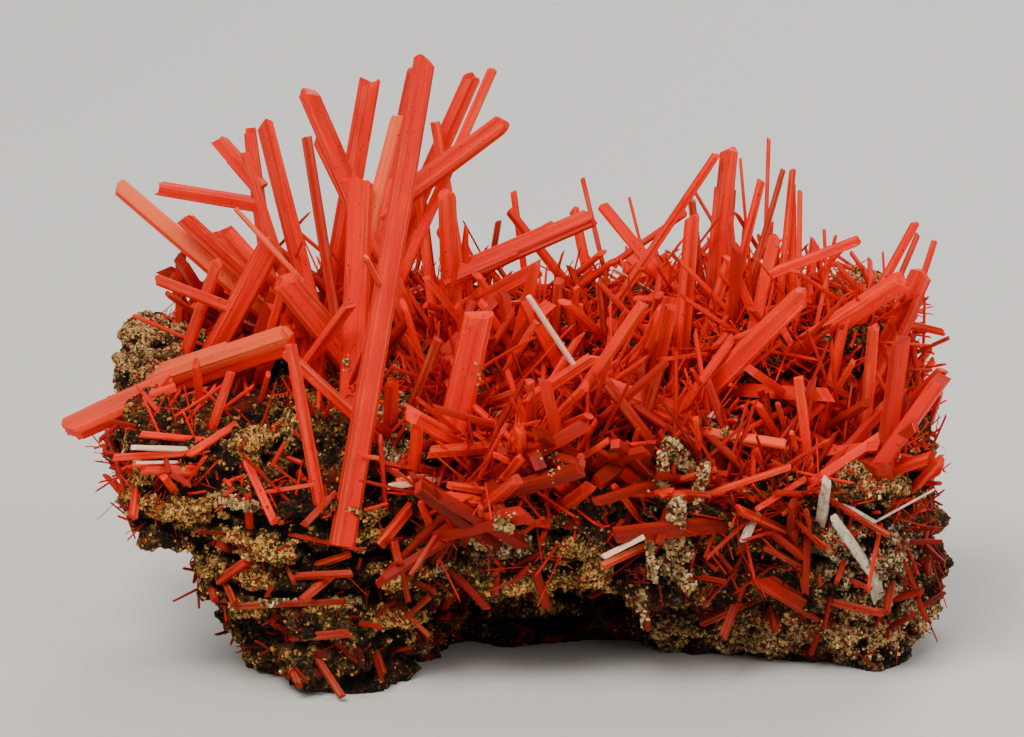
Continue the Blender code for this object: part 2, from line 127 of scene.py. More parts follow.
class Nodes:  # short ways to add and join shader or geometry nodes
    def __init__(self, tree):
        self.tree = tree

    def give(self, socket, value):  # a link or a fixed value
        if isinstance(value, bpy.types.NodeSocket):
            self.tree.links.new(value, socket)
        else:
            socket.default_value = value

    def add(self, kind, values=None, **settings):
        node = self.tree.nodes.new(kind)
        for name, value in settings.items():
            setattr(node, name, value)
        for name, value in (values or {}).items():
            self.give(node.inputs[name], value)
        return node

    def get(self, kind, values=None, **settings):
        return self.add(kind, values, **settings).outputs[0]

    def math(self, operation, first, second=0.0):
        return self.get("ShaderNodeMath", {0: first, 1: second}, operation=operation)

    def times(self, first, second):
        return self.math("MULTIPLY", first, second)

    def vector(self, operation, first, second=None, scale=None):
        values = {0: first}
        if second is not None:
            values[1] = second
        if scale is not None:
            values["Scale"] = scale
        return self.get("ShaderNodeVectorMath", values, operation=operation)

    def split(self, vector):  # its sockets X, Y and Z
        return self.add("ShaderNodeSeparateXYZ", {0: vector}).outputs

    def join(self, **parts):
        return self.get("ShaderNodeCombineXYZ", parts)

    def noise(self, where, scale, detail=2.0, roughness=0.5):
        values = {"Vector": where, "Scale": scale, "Detail": detail, "Roughness": roughness}
        return self.add("ShaderNodeTexNoise", values).outputs["Fac"]

    def ramp(self, value, low, high, start=0.0, end=1.0):
        values = {"Value": value, "From Min": low, "From Max": high, "To Min": start, "To Max": end}
        return self.get("ShaderNodeMapRange", values)

    def read(self, name, kind="Fac"):  # an attribute of the mesh, in a material
        return self.add("ShaderNodeAttribute", attribute_name=name).outputs[kind]

    def recall(self, name, kind="FLOAT"):  # the same, in geometry nodes
        node = self.add("GeometryNodeInputNamedAttribute", {"Name": name}, data_type=kind)
        return node.outputs["Attribute"]

    def store(self, geometry, name, value, kind="FLOAT"):
        values = {"Geometry": geometry, "Name": name, "Value": value}
        return self.get("GeometryNodeStoreNamedAttribute", values, data_type=kind, domain="POINT")

    def chance(self, low, high, seed, kind="FLOAT"):  # a random number or vector for each point
        node = self.add("FunctionNodeRandomValue", data_type=kind)
        one, two, result = {"FLOAT": (2, 3, 1), "FLOAT_VECTOR": (0, 1, 0)}[kind]
        self.give(node.inputs[one], low)
        self.give(node.inputs[two], high)
        self.give(node.inputs["Seed"], seed)
        return node.outputs[result]

    def mix(self, share, first, second):
        values = {0: share, 6: first, 7: second}
        return self.add("ShaderNodeMix", values, data_type="RGBA").outputs[2]

    def paint(self, body, look, *layers):  # lays colours over the body, each by its share
        for share, colour in layers:
            body = self.mix(share, body, look[colour])
        return body

    def bump(self, strength, distance, height, **under):
        values = {"Strength": strength, "Distance": distance, "Height": height, **under}
        return self.get("ShaderNodeBump", values)


def newMaterial(name, settings):
    material = bpy.data.materials.new(name)
    material.use_nodes = True
    shader = material.node_tree.nodes["Principled BSDF"]
    for socket, value in settings.items():
        shader.inputs[socket].default_value = value
    return material, Nodes(material.node_tree), shader.inputs


makeCamera()
makeStudio()
print("view and studio ready")


crocoiteLook = {
    "dark": (0.070, 0.005, 0.003, 1),
    "deep": (0.42, 0.022, 0.014, 1),
    "red": (0.98, 0.007, 0.003, 1),
    "orange": (1.0, 0.036, 0.003, 1),
    "frost": (0.98, 0.24, 0.09, 1),
    "gleam": (0.97, 0.72, 0.56, 1),
    "speck": (0.06, 0.004, 0.002, 1),
    "shader": {
        "IOR": 1.5,
        "Specular IOR Level": 0.09,
        "Subsurface Weight": 0.2,
        "Subsurface Radius": (1.0, 0.04, 0.02),
        "Subsurface Scale": 0.0025,
    },
}


def crocoiteMaterial():
    # "local" holds places in a crystal's own frame in metres, Z along it; "tone" is one number for
    # each crystal, painted darker towards the floor as painted shade, above 1 on crystals painted
    # with a pale sheen and from 1.7 with a whitish glint; "along" runs from 0 at the foot to 1 at
    # the tip, and "edge" is 1 on the edges between two sides
    material, nodes, shader = newMaterial("crocoite", crocoiteLook["shader"])
    local, tone = nodes.read("local", "Vector"), nodes.read("tone")
    lengthwise = nodes.vector("MULTIPLY", local, (1.0, 1.0, 0.035))
    streaks = nodes.noise(lengthwise, 2600, 3, 0.65)
    bands = nodes.noise(lengthwise, 700, 2)
    clouds = nodes.noise(nodes.vector("MULTIPLY", local, (1.0, 1.0, 0.4)), 330, 3)
    specks = nodes.noise(local, 1900, 1)

    # painted glow: each crystal is painted more orange towards its tip, as if light shone through
    # it, and in random cloudy patches
    tipward = nodes.ramp(nodes.read("along"), 0.4, 1.0, 0.0, 0.6)
    tipGlowAndClouds = nodes.math("ADD", tipward, nodes.ramp(clouds, 0.45, 0.7, 0.0, 0.5))
    tipGlowAndClouds = nodes.times(tipGlowAndClouds, nodes.ramp(tone, 0.4, 1.0))
    # painted sheen: pale streaks, lighter edges and crystals of tone above 1.1 are painted a pale
    # orange sheen; the lighter edges are a painted highlight
    sheenStreaks = nodes.ramp(streaks, 0.56, 0.76, 0.0, 0.4)
    sheenStreaks = nodes.times(sheenStreaks, nodes.ramp(clouds, 0.56, 0.70))
    edgeHighlight = nodes.times(nodes.read("edge"), nodes.ramp(clouds, 0.35, 0.75, 0.0, 0.35))
    sheenShare = nodes.math("MAXIMUM", sheenStreaks, edgeHighlight)
    sheenShare = nodes.math("MAXIMUM", sheenShare, nodes.ramp(tone, 1.1, 1.6, 0.0, 0.75))
    body = nodes.paint(
        crocoiteLook["dark"], crocoiteLook,
        (nodes.ramp(tone, 0.0, 0.45), "deep"),
        (nodes.ramp(tone, 0.35, 0.8), "red"),
        (tipGlowAndClouds, "orange"),
        (nodes.ramp(bands, 0.54, 0.34, 0.0, 0.7), "deep"),
        (nodes.ramp(streaks, 0.42, 0.30, 0.0, 0.35), "dark"),
        (sheenShare, "frost"),
        # painted glint: crystals of tone from 1.7 are painted whitish
        (nodes.ramp(tone, 1.7, 2.0, 0.0, 0.8), "gleam"),
        (nodes.ramp(specks, 0.72, 0.78, 0.0, 0.8), "speck"),
    )
    nodes.give(shader["Base Color"], body)
    nodes.give(shader["Roughness"], nodes.ramp(streaks, 0.3, 0.75, 0.36, 0.62))
    fine = nodes.bump(0.35, 0.12 * mm, streaks)
    nodes.give(shader["Normal"], nodes.bump(0.5, 0.2 * mm, bands, Normal=fine))
    return material


gossanLook = {
    "pale": (0.90, 0.52, 0.14, 1),
    "ochre": (0.50, 0.22, 0.042, 1),
    "brown": (0.055, 0.023, 0.009, 1),
    "pit": (0.007, 0.004, 0.002, 1),
    "stain": (0.20, 0.010, 0.005, 1),
    "cream": (0.82, 0.58, 0.33, 1),
    "olive": (0.27, 0.20, 0.075, 1),
}


def gossanMaterial():
    # "rise" is how far the surface stands out of its pits, and the low parts are painted near-black
    # as painted shade; "crumb" where ochre crumbs cling, and "cream" where they are cream or olive,
    # each 0 to 1
    material, nodes, shader = newMaterial("gossan", {"Roughness": 0.95, "Specular IOR Level": 0.2})
    place = nodes.add("ShaderNodeTexCoord").outputs["Object"]
    rise, crumb, cream = nodes.read("rise"), nodes.read("crumb"), nodes.read("cream")
    grains = nodes.noise(place, 1500, 3, 0.7)
    cells = nodes.get("ShaderNodeTexVoronoi", {"Vector": place, "Scale": 1100})
    patches = nodes.noise(place, 240, 4, 0.65)
    bright = nodes.paint(gossanLook["ochre"], gossanLook, (nodes.ramp(grains, 0.40, 0.66), "pale"))
    creamy = nodes.paint(gossanLook["olive"], gossanLook, (nodes.ramp(grains, 0.40, 0.62), "cream"))
    share = nodes.times(crumb, nodes.ramp(rise, 0.30, 0.62))
    share = nodes.times(share, nodes.ramp(grains, 0.44, 0.58, 0.08, 0.9))
    # painted shadow: the near-black base shows between the brown patches and grains, as deep shadow
    # between the crumbs
    body = nodes.paint(
        gossanLook["pit"], gossanLook,
        (nodes.ramp(patches, 0.40, 0.64), "brown"),
        (nodes.ramp(grains, 0.54, 0.44, 0.0, 0.85), "pit"),
        (nodes.ramp(grains, 0.60, 0.70, 0.0, 0.6), "ochre"),
    )
    body = nodes.paint(
        nodes.mix(share, body, nodes.mix(cream, bright, creamy)), gossanLook,
        (nodes.ramp(nodes.noise(place, 190, 3), 0.56, 0.66, 0.0, 0.7), "stain"),
        # painted shade: pits and gaps between layers, where rise is low, are painted near-black
        (nodes.ramp(rise, 0.42, 0.20), "pit"),
    )
    nodes.give(shader["Base Color"], body)
    fine = nodes.bump(1.0, 0.7 * mm, grains)
    nodes.give(shader["Normal"], nodes.bump(0.8, 0.5 * mm, cells, Normal=fine))
    return material


def grainMaterial():
    settings = {"Roughness": 0.92, "Specular IOR Level": 0.2}
    material, nodes, shader = newMaterial("gossanGrain", settings)
    place = nodes.add("ShaderNodeTexCoord").outputs["Object"]
    tone, cream = nodes.read("tone"), nodes.read("cream")
    bright = nodes.paint(gossanLook["ochre"], gossanLook, (nodes.ramp(tone, 0.5, 1.0), "pale"))
    creamy = nodes.paint(gossanLook["olive"], gossanLook, (nodes.ramp(tone, 0.5, 0.95), "cream"))
    body = nodes.paint(
        nodes.mix(cream, bright, creamy), gossanLook,
        (nodes.ramp(tone, 0.44, 0.24), "brown"),
        (nodes.ramp(nodes.noise(place, 260, 3), 0.53, 0.68, 0.0, 0.7), "brown"),
        (nodes.ramp(tone, 0.12, 0.08), "stain"),
    )
    nodes.give(shader["Base Color"], body)
    nodes.give(shader["Normal"], nodes.bump(0.6, 0.2 * mm, nodes.noise(place, 3000, 2)))
    return material


cerussiteLook = {
    "white": (0.76, 0.67, 0.50, 1),
    "cream": (0.46, 0.34, 0.20, 1),
    "dirt": gossanLook["brown"],
    "shader": {"IOR": 1.8, "Subsurface Weight": 0.12, "Subsurface Scale": 0.002},
}


def cerussiteMaterial():
    material, nodes, shader = newMaterial("cerussite", cerussiteLook["shader"])
    place = nodes.add("ShaderNodeTexCoord").outputs["Object"]
    cloud = nodes.noise(place, 420, 3)
    lengthwise = nodes.vector("MULTIPLY", nodes.read("local", "Vector"), (1.0, 1.0, 0.06))
    streaks = nodes.noise(lengthwise, 2400, 3, 0.65)
    body = nodes.paint(
        cerussiteLook["white"], cerussiteLook,
        (nodes.ramp(cloud, 0.42, 0.66), "cream"),
        (nodes.ramp(streaks, 0.48, 0.36, 0.0, 0.7), "cream"),
        (nodes.ramp(nodes.noise(place, 900, 3, 0.6), 0.58, 0.68, 0.0, 0.8), "dirt"),
    )
    nodes.give(shader["Base Color"], body)
    nodes.give(shader["Roughness"], nodes.ramp(cloud, 0.3, 0.7, 0.3, 0.6))
    nodes.give(shader["Normal"], nodes.bump(0.7, 0.3 * mm, streaks))
    return material


crocoite = crocoiteMaterial()
gossan = gossanMaterial()
grain = grainMaterial()
cerussite = cerussiteMaterial()
print("materials ready")


def solidOf(node):
    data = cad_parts[node].data
    places = [vertex.co.copy() for vertex in data.vertices]
    return places, [tuple(polygon.vertices) for polygon in data.polygons]


def surfaceOf(nodeNames):
    places, faces = [], []
    for node in nodeNames:
        nodePlaces, nodeFaces = solidOf(node)
        faces += [tuple(corner + len(places) for corner in face) for face in nodeFaces]
        places += nodePlaces
    return BVHTree.FromPolygons(places, faces)


def seenPlace(across, up, depth):  # where the lens sees (across, up) at this place along Y
    onPlane = view["target"] + Vector((across * mm, 0, 0)) + upward * (up - view["targetUp"]) * mm
    ray = onPlane - eye
    return eye + ray * (depth - eye.y) / ray.y


def seenAt(place):  # where on the picture the lens sees this place: across and up in mm
    ray = place - eye
    onPlane = eye + ray * (view["target"] - eye).dot(sightLine) / ray.dot(sightLine)
    onPlane -= view["target"]
    return onPlane.x / mm, onPlane.dot(upward) / mm + view["targetUp"]


def groundSeenAt(surface, across, up):  # the place and the direction out of the surface
    start = seenPlace(across, up, -0.2)
    return surface.ray_cast(start, start - eye)[:2]


def placePiece(name, data, material, slot, nodes=()):
    piece = addToScene(name, data)
    if not data.materials:
        data.materials.append(material)
    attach(piece, "root")
    if nodes:
        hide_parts(*nodes)
    return piece


def newPiece(name, bm, material, slot, nodes=()):
    data = bpy.data.meshes.new(name)
    bm.to_mesh(data)
    bm.free()
    return placePiece(name, data, material, slot, nodes)


def bakedMesh(obj, name):  # the modifiers' result as a plain mesh
    bpy.context.view_layer.update()
    graph = bpy.context.evaluated_depsgraph_get()
    data = bpy.data.meshes.new_from_object(obj.evaluated_get(graph))
    data.name = name
    return data


def mergedSolid(node):
    bm = bmesh.new()
    bm.from_mesh(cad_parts[node].data)
    bmesh.ops.remove_doubles(bm, verts=bm.verts[:], dist=1e-6)
    return bm


def writeValues(data, **columns):  # one number for each vertex
    for name, values in columns.items():
        data.attributes.new(name, "FLOAT", "POINT").data.foreach_set("value", values)


def share01(value, low, high):  # 0 below low, 1 above high, straight between
    return max(0.0, min(1.0, (value - low) / (high - low)))


def eased(value, low, high):  # the same, soft at both ends
    share = share01(value, low, high)
    return share * share * (3 - 2 * share)


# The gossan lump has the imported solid's shape, with ledges, pits, crumbs and gaps between layers
lump = {
    "voxel": 0.70 * mm,
    # size of the pattern and how far it moves the surface, in mm
    "ledges": (9.0, 1.8),
    "pits": (4.4, 2.6),
    "crumbs": (1.7, 0.9),
    "strata": (6.4, 2.8),
    "flatBelow": 0.6 * mm,
    "frontTo": 16,  # mm along Y, beyond which crumbs cling by chance
    # where crumbs cling on the front: across, up, half width, half height, and how cream they are
    "patches": (
        (-60, 59, 7, 6, 0.4), (-62, 36, 3, 3, 0), (-54, 34, 6, 4, 0), (-52, 24, 4, 5, 0),
        (-41, 27, 7, 3.5, 0), (-43, 21, 3, 2.5, 0), (-36, 16.5, 9, 1.1, 0), (-25, 29, 4, 3.5, 0),
        (-18, 22, 5, 3, 0), (-20, 13, 4, 3, 0), (-19, 45, 3.5, 6, 0.8), (-11.7, 24, 1.5, 2.6, 0.9),
        (-42, 43, 5, 3, 0), (-36, 50, 4, 4, 0), (11, 22, 5, 5, 0.1), (4, 20, 4, 3.5, 0.1),
        (-4, 29, 6, 4.5, 0.8), (7.5, 40, 3, 2.6, 0.9), (25.5, 31, 3.5, 11, 0.9),
        (27, 12, 3, 2.2, 0.5), (42, 12, 10, 3.6, 0.5), (61, 13, 10, 6, 0.5), (59, 25, 7, 7, 0.9),
        (63, 38, 9, 3, 0.3), (57, 70, 3, 3, 0.8), (-20.8, 57.5, 3.5, 3, 0.9),
        (-4.5, 53.5, 3, 2.5, 0.8), (36, 46, 3, 2.5, 0.9),
    ),
}


def crumbsAt(place, normal):  # how many crumbs cling here, and how cream they are, 0 to 1
    spot = place / mm
    clump = noise.fractal(spot / 6.5, 0.9, 2.0, 3)
    ragged = noise.fractal(spot / 2.6 + Vector((3, 9, 2)), 0.8, 2.0, 2)
    if normal.dot(sightLine) > -0.05 or spot.y > lump["frontTo"]:
        weight = eased(clump, -0.05, 0.2) * eased(ragged, -0.5, 0.1)
        return weight, eased(noise.noise(spot / 17), 0.05, 0.3)
    across, up = seenAt(place)
    weight, cream = 0.22 * eased(clump, 0.0, 0.2), 0.0
    for middle, level, wide, high, creamy in lump["patches"]:
        far = math.hypot((across - middle) / wide, (up - level) / high)
        here = eased(far + 0.45 * ragged + 0.3 * clump, 1.35, 0.75)
        if here > weight:
            weight, cream = here, creamy
    return weight, cream


def gapAt(place, normal):  # how deep the gap between two layers is here, 0 to 1
    wavy = place.z + 2.2 * noise.noise(place / 13)
    between = 1 - min(1.0, abs(wavy / lump["strata"][0] % 1 - 0.5) / 0.24)
    steep = 1 - min(1.0, abs(normal.z) * 1.4)
    leftFoot = eased(place.x, -10, -18) * eased(place.z, 40, 30)
    anywhere = eased(noise.noise(place / 16 + Vector((5, 0, 8))), 0.0, 0.25)
    return eased(between, 0.1, 0.7) * steep * max(leftFoot, anywhere)


def makeLump():
    coarse = addToScene("coarseLump", bpy.data.meshes.new("coarseLump"))
    bm = mergedSolid("matrix")
    bm.to_mesh(coarse.data)
    bm.free()
    skin = coarse.modifiers.new("skin", "REMESH")
    skin.mode = "VOXEL"
    skin.voxel_size = lump["voxel"]
    data = bakedMesh(coarse, "gossanLump")
    bpy.data.objects.remove(coarse, do_unlink=True)

    rises, crumbs, creams = np.zeros((3, len(data.vertices)), np.float32)
    ledgeSize, ledgeDepth = lump["ledges"]
    pitSize, pitDepth = lump["pits"]
    crumbSize, crumbDepth = lump["crumbs"]
    normals = [vertex.normal.copy() for vertex in data.vertices]
    for number, (vertex, normal) in enumerate(zip(data.vertices, normals)):
        place = vertex.co / mm
        crumbs[number], creams[number] = crumbsAt(vertex.co, normal)
        if vertex.co.z < lump["flatBelow"] and normal.z < -0.5:
            rises[number] = 0.5
            vertex.co.z = 0
            continue
        shelf = place.copy()
        shelf.z *= 2.2  # the lump is layered, so its ledges lie flat
        ledges = noise.fractal(shelf / ledgeSize, 0.8, 2.1, 3)
        sunk = max(0.0, 0.42 - noise.voronoi(place / pitSize)[0][0]) / 0.42  # 1 in a pit's middle
        rough = noise.fractal(place / crumbSize + Vector((7, 3, 1)), 0.6, 2.0, 3)
        gap = gapAt(place, normal) * (1 - 0.5 * crumbs[number])
        move = ledges * ledgeDepth - sunk * pitDepth + 0.4 + rough * crumbDepth
        move -= gap * lump["strata"][1]
        vertex.co += normal * mm * (move + 0.5 * crumbs[number])
        vertex.co.z = max(vertex.co.z, 0)
        rises[number] = 0.55 + 0.35 * ledges - 0.55 * sunk + 0.45 * rough - 0.6 * gap
    writeValues(data, rise=rises, crumb=crumbs, cream=creams)
    data.materials.clear()
    data.shade_smooth()
    return placePiece("gossanLump", data, gossan, "gossan", ["matrix"])


lumpPiece = makeLump()
lumpSurface = BVHTree.FromPolygons(
    [vertex.co for vertex in lumpPiece.data.vertices],
    [tuple(polygon.vertices) for polygon in lumpPiece.data.polygons],
)
print("lump ready,", len(lumpPiece.data.polygons), "faces")


# Single crystals are grooved along their length, and stepped and broken at the tip
prismLook = {
    "groove": 0.34 * mm,  # width of one groove
    "grooveDepth": (0.02, 0.075),  # mm
    "station": 3.5 * mm,
    "steps": (0, 1, 1, 2),  # sides that step in towards the tip
    "bladeChance": 0.6,  # of a side crystal grown along a thick one
    "hollowChance": 0.3,
    "hollowFrom": 2.2 * mm,  # thickness
    "bladeFrom": 2.4 * mm,
    "sink": 1.1 * mm,  # how far a foot runs on into what it grows on
    "clean": 28,  # mm above the floor, below which crystals are painted darker, as painted shade
}


# painted shade: a tone of 1 or less is painted darker towards the floor, up to the given height
def toneWithFloorShade(tone, height, clean):
    return tone * (0.25 + 0.75 * eased(height / mm, 8, clean)) if tone <= 1 else tone


def placeOn(crystal, point, height, lift=0.0):  # a point of the section, at a height along the axis
    past = height - crystal["sectionAt"]
    flat = point * (1 - crystal["taper"] * past) + crystal["centre"] + crystal["drift"] * past
    place = crystal["foot"] + crystal["across"] * flat.x + crystal["up"] * flat.y
    return place + crystal["axis"] * (height + lift)


def sectionAt(places, faces, origin, axis, across, up, height):  # its corners and its middle
    points = []
    for face in faces:
        corners = [places[corner] for corner in face]
        levels = [(corner - origin).dot(axis) - height for corner in corners]
        for one in range(3):
            two = (one + 1) % 3
            if (levels[one] < 0) != (levels[two] < 0):
                share = levels[one] / (levels[one] - levels[two])
                point = corners[one].lerp(corners[two], share) - origin
                points.append(Vector((point.dot(across), point.dot(up))))
    middle = sum(points, Vector((0, 0))) / len(points)
    points.sort(key=lambda point: math.atan2(point.y - middle.y, point.x - middle.x))
    kept = []
    for point in points:
        if not kept or (point - kept[-1]).length > 0.02 * mm:
            kept.append(point)
    corners = []
    for number, point in enumerate(kept):
        before, after = kept[number - 1], kept[(number + 1) % len(kept)]
        turn = (point - before).angle_signed(after - point, 0) if (after - point).length else 0
        if abs(turn) > 0.05:
            corners.append(point)
    return corners, middle


def readCrystal(node):  # axis, foot, section and size of a packed crystal
    places, faces = solidOf(node)
    spread = np.zeros((3, 3))
    for face in faces:
        one, two, three = (places[corner] for corner in face)
        cross = (two - one).cross(three - one)
        if cross.length > 0:
            direction = np.array(cross.normalized())
            spread += cross.length * np.outer(direction, direction)
    axis = Vector(np.linalg.eigh(spread)[1][:, 0]).normalized()
    middle = sum(places, Vector()) / len(places)
    levels = [(place - middle).dot(axis) for place in places]
    low, high = min(levels), max(levels)
    others = surfaceOf([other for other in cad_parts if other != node])

    def gapTo(isEnd):
        return min(others.find_nearest(p)[3] for p, level in zip(places, levels) if isEnd(level))

    if gapTo(lambda level: level > high - 1.5 * mm) < gapTo(lambda level: level < low + 1.5 * mm):
        axis, low, high = -axis, -high, -low  # the end nearest to a neighbour is the foot
    across = axis.orthogonal().normalized()
    up = axis.cross(across)
    length = high - low
    foot = middle + axis * low
    sectioned = length * 0.55
    corners, centre = sectionAt(places, faces, foot, axis, across, up, sectioned)
    spreadHere = sum((corner - centre).length for corner in corners) / len(corners)
    width = 2 * spreadHere
    farther = max(length * 0.6, length - 1.7 * width)
    ends, endsMiddle = sectionAt(places, faces, foot, axis, across, up, farther)
    spreadThere = sum((corner - endsMiddle).length for corner in ends) / max(1, len(ends))
    return {
        "foot": foot,
        "axis": axis,
        "across": across,
        "up": up,
        "length": length,
        "corners": [corner - centre for corner in corners],
        "centre": centre,
        "drift": (endsMiddle - centre) / (farther - sectioned),
        "taper": max(-0.3, min((1 - spreadThere / spreadHere) / (farther - sectioned), 6.0)),
        "sectionAt": sectioned,
        "width": width,
        "solid": BVHTree.FromPolygons(places, faces),
    }


def slantedTip(length, width, rng):
    slope, turn = math.tan(math.radians(rng.uniform(18, 46))), rng.uniform(0, math.tau)
    second, turnTwo = slope * rng.uniform(0.5, 1.1), turn + rng.uniform(2.0, 4.2)

    def height(point):
        across = point.x * math.cos(turn) + point.y * math.sin(turn)
        other = length - second * (point.x * math.cos(turnTwo) + point.y * math.sin(turnTwo))
        return min(length - 0.3 * width * slope - slope * across, other)

    return height


def newCrystalMesh():
    bm = bmesh.new()
    bm.verts.layers.float_vector.new("local")
    for name in ("tone", "along", "edge"):
        bm.verts.layers.float.new(name)
    return bm


def joinRings(bm, lower, higher):
    for number in range(len(lower)):
        after = (number + 1) % len(lower)
        bm.faces.new((lower[number], lower[after], higher[after], higher[number]))


def addPrism(bm, crystal, tipHeight, rng, tone, sink, clean):
    local = bm.verts.layers.float_vector["local"]
    tones, alongs, edges = (bm.verts.layers.float[name] for name in ("tone", "along", "edge"))
    corners, width, length = crystal["corners"], crystal["width"], crystal["length"]
    shift = Vector((rng.uniform(-1, 1), rng.uniform(-1, 1), rng.uniform(-1, 1))) * 0.3
    axis, sky = crystal["axis"], Vector((0, -0.3, 1))
    skyward = (sky - axis * sky.dot(axis)).normalized()

    ring = []  # point, outward, groove depth, side, and 0 between two edges
    for side, corner in enumerate(corners):
        run = corners[(side + 1) % len(corners)] - corner
        pieces = max(1, round(run.length / prismLook["groove"]))
        outward = Vector((run.y, -run.x)).normalized()
        for piece in range(pieces):
            deep = 0
            if piece:
                deep = rng.uniform(*prismLook["grooveDepth"]) * mm * rng.choice((0, 1, 1, 1.6))
            ring.append((corner + run * piece / pieces, outward, deep, side, 0 if piece else 1))

    stepSides = {}  # where along the side it steps in, and by how much
    for _ in range(rng.choice(prismLook["steps"])):
        stepSides[rng.randrange(len(corners))] = (
            rng.uniform(0.45, 0.93), rng.uniform(0.03, 0.09) * width
        )
    count = max(3, round(length / prismLook["station"]))
    shares = {0.0, 1.0} | {step / count for step in range(1, count)}
    for share, _ in stepSides.values():
        shares |= {share, min(share + 0.12 * mm / length, 0.999)}

    def put(point, height, edge=0):
        place = placeOn(crystal, point, height)
        vertex = bm.verts.new(place)
        vertex[local] = Vector((point.x, point.y, height)) + shift
        shade = toneWithFloorShade(tone, place.z, clean)
        if 1 < tone < 1.7:  # painted sheen: a crystal of tone above 1 is painted paler on its upper sides only, where light falls
            radial = (crystal["across"] * point.x + crystal["up"] * point.y).normalized()
            shade = 0.8 + (tone - 0.8) * eased(radial.dot(skyward), -0.3, 0.3)
        vertex[tones] = shade
        vertex[alongs] = max(0.0, height / length)
        vertex[edges] = edge
        return vertex

    tops = [tipHeight(spot[0]) for spot in ring]
    rings = []
    for share in sorted(shares):
        fade = rng.uniform(0.35, 1.0)
        rings.append([])
        for (point, outward, deep, side, edge), top in zip(ring, tops):
            inset = deep * fade
            if side in stepSides and share > stepSides[side][0]:
                inset += stepSides[side][1]
            rings[-1].append(put(point - outward * inset, -sink + (top + sink) * share, edge))
    for lower, higher in zip(rings, rings[1:]):
        joinRings(bm, lower, higher)
    bm.faces.new(rings[0][::-1])

    isHollow = width > prismLook["hollowFrom"] and rng.random() < prismLook["hollowChance"]
    hollow = width * rng.uniform(0.25, 0.7) if isHollow else 0
    outer = rings[-1]
    for share, depth in ((0.86, 0.75), (0.45, 1)):
        row = []
        for spot in ring:
            inner = spot[0] * share
            drop = hollow * depth + rng.uniform(0, 0.02) * width
            row.append(put(inner, tipHeight(inner) - drop))
        joinRings(bm, outer, row)
        outer = row
    peak = put(Vector((0, 0)), tipHeight(Vector((0, 0))) - hollow)
    for number in range(len(ring)):
        bm.faces.new((outer[number], outer[(number + 1) % len(ring)], peak))


sheenTonesOf = {  # crystals painted with a pale sheen on their upper sides
    "left_spray_07": 1.5,
    "left_spray_01": 1.38,
    "left_spray_02": 1.22,
    "crown_05": 1.42,
    "right_spray_15": 1.3,
}


def pieceName(node):
    words = node.split("_")
    return words[0] + "".join(word.capitalize() for word in words[1:])


def detailCrystal(node, rng):
    crystal = readCrystal(node)
    white = node.startswith("cerussite")
    foot, axis, length, width = (crystal[key] for key in ("foot", "axis", "length", "width"))

    def tipOfSolid(point):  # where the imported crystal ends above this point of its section
        start = placeOn(crystal, point * 0.95, length, 5 * mm)
        hit = crystal["solid"].ray_cast(start, -axis)[0]
        return (hit - foot).dot(axis) if hit else length - 0.5 * width

    bm = newCrystalMesh()
    tone = sheenTonesOf.get(node, rng.uniform(0.6, 1.0))
    sink, clean = prismLook["sink"], prismLook["clean"]
    addPrism(bm, crystal, tipOfSolid, rng, tone, sink, clean)
    if width > prismLook["bladeFrom"] and not white and rng.random() < prismLook["bladeChance"]:
        side = rng.choice(crystal["corners"])
        blade = {
            **crystal,
            "corners": [corner * rng.uniform(0.46, 0.6) for corner in crystal["corners"]],
            "centre": crystal["centre"] + side * 0.62,
            "width": width * 0.55,
            "length": length * rng.uniform(0.5, 0.92),
        }
        tip = slantedTip(blade["length"], blade["width"], rng)
        addPrism(bm, blade, tip, rng, tone * 0.95, sink, clean)
    material, slot = (cerussite, "cerussite") if white else (crocoite, "crocoite")
    return newPiece(pieceName(node), bm, material, slot, [node])


rng = random.Random(71)
singles = [
    node for node in sorted(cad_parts) if node != "matrix" and not node.startswith("thicket")
]
for node in singles:
    detailCrystal(node, rng)
print("single crystals ready,", len(singles))


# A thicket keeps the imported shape, and each face gets its own crystal's direction and tone
thicketTones = {"thicket_front": (0.6, 54), "others": (0.9, 50)}  # share, and mm above the floor where the painted shade ends


def makeThicket(node, rng):
    dim, clean = thicketTones.get(node, thicketTones["others"])
    bm = mergedSolid(node)
    flat = math.radians(0.6)
    bmesh.ops.dissolve_limit(bm, angle_limit=flat, verts=bm.verts[:], edges=bm.edges[:])
    local = bm.loops.layers.float_vector.new("local")
    tones = bm.loops.layers.float.new("tone")
    alongs = bm.loops.layers.float.new("along")
    families = []  # direction, tone
    for face in bm.faces:
        longest = max(face.edges, key=lambda edge: edge.calc_length())
        direction = (longest.verts[1].co - longest.verts[0].co).normalized()
        if direction.z < 0:
            direction = -direction
        for known, tone in families:
            if known.angle(direction) < math.radians(3):
                direction = known
                break
        else:
            tone = rng.uniform(0.25, 1.0)
            families.append((direction, tone))
        across = direction.orthogonal().normalized()
        aside = direction.cross(across)
        levels = [loop.vert.co.dot(direction) for loop in face.loops]
        low, high = min(levels), max(levels)
        for loop, level in zip(face.loops, levels):
            place = loop.vert.co
            loop[local] = (place.dot(across), place.dot(aside), level)
            loop[tones] = toneWithFloorShade(tone * dim, place.z, clean)
            loop[alongs] = (level - low) / max(high - low, 1e-6) if high - low > 3 * mm else 0.9
    newPiece(pieceName(node), bm, crocoite, "crocoite", [node])


for node in sorted(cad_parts):
    if node.startswith("thicket"):
        makeThicket(node, rng)
print("thickets ready")


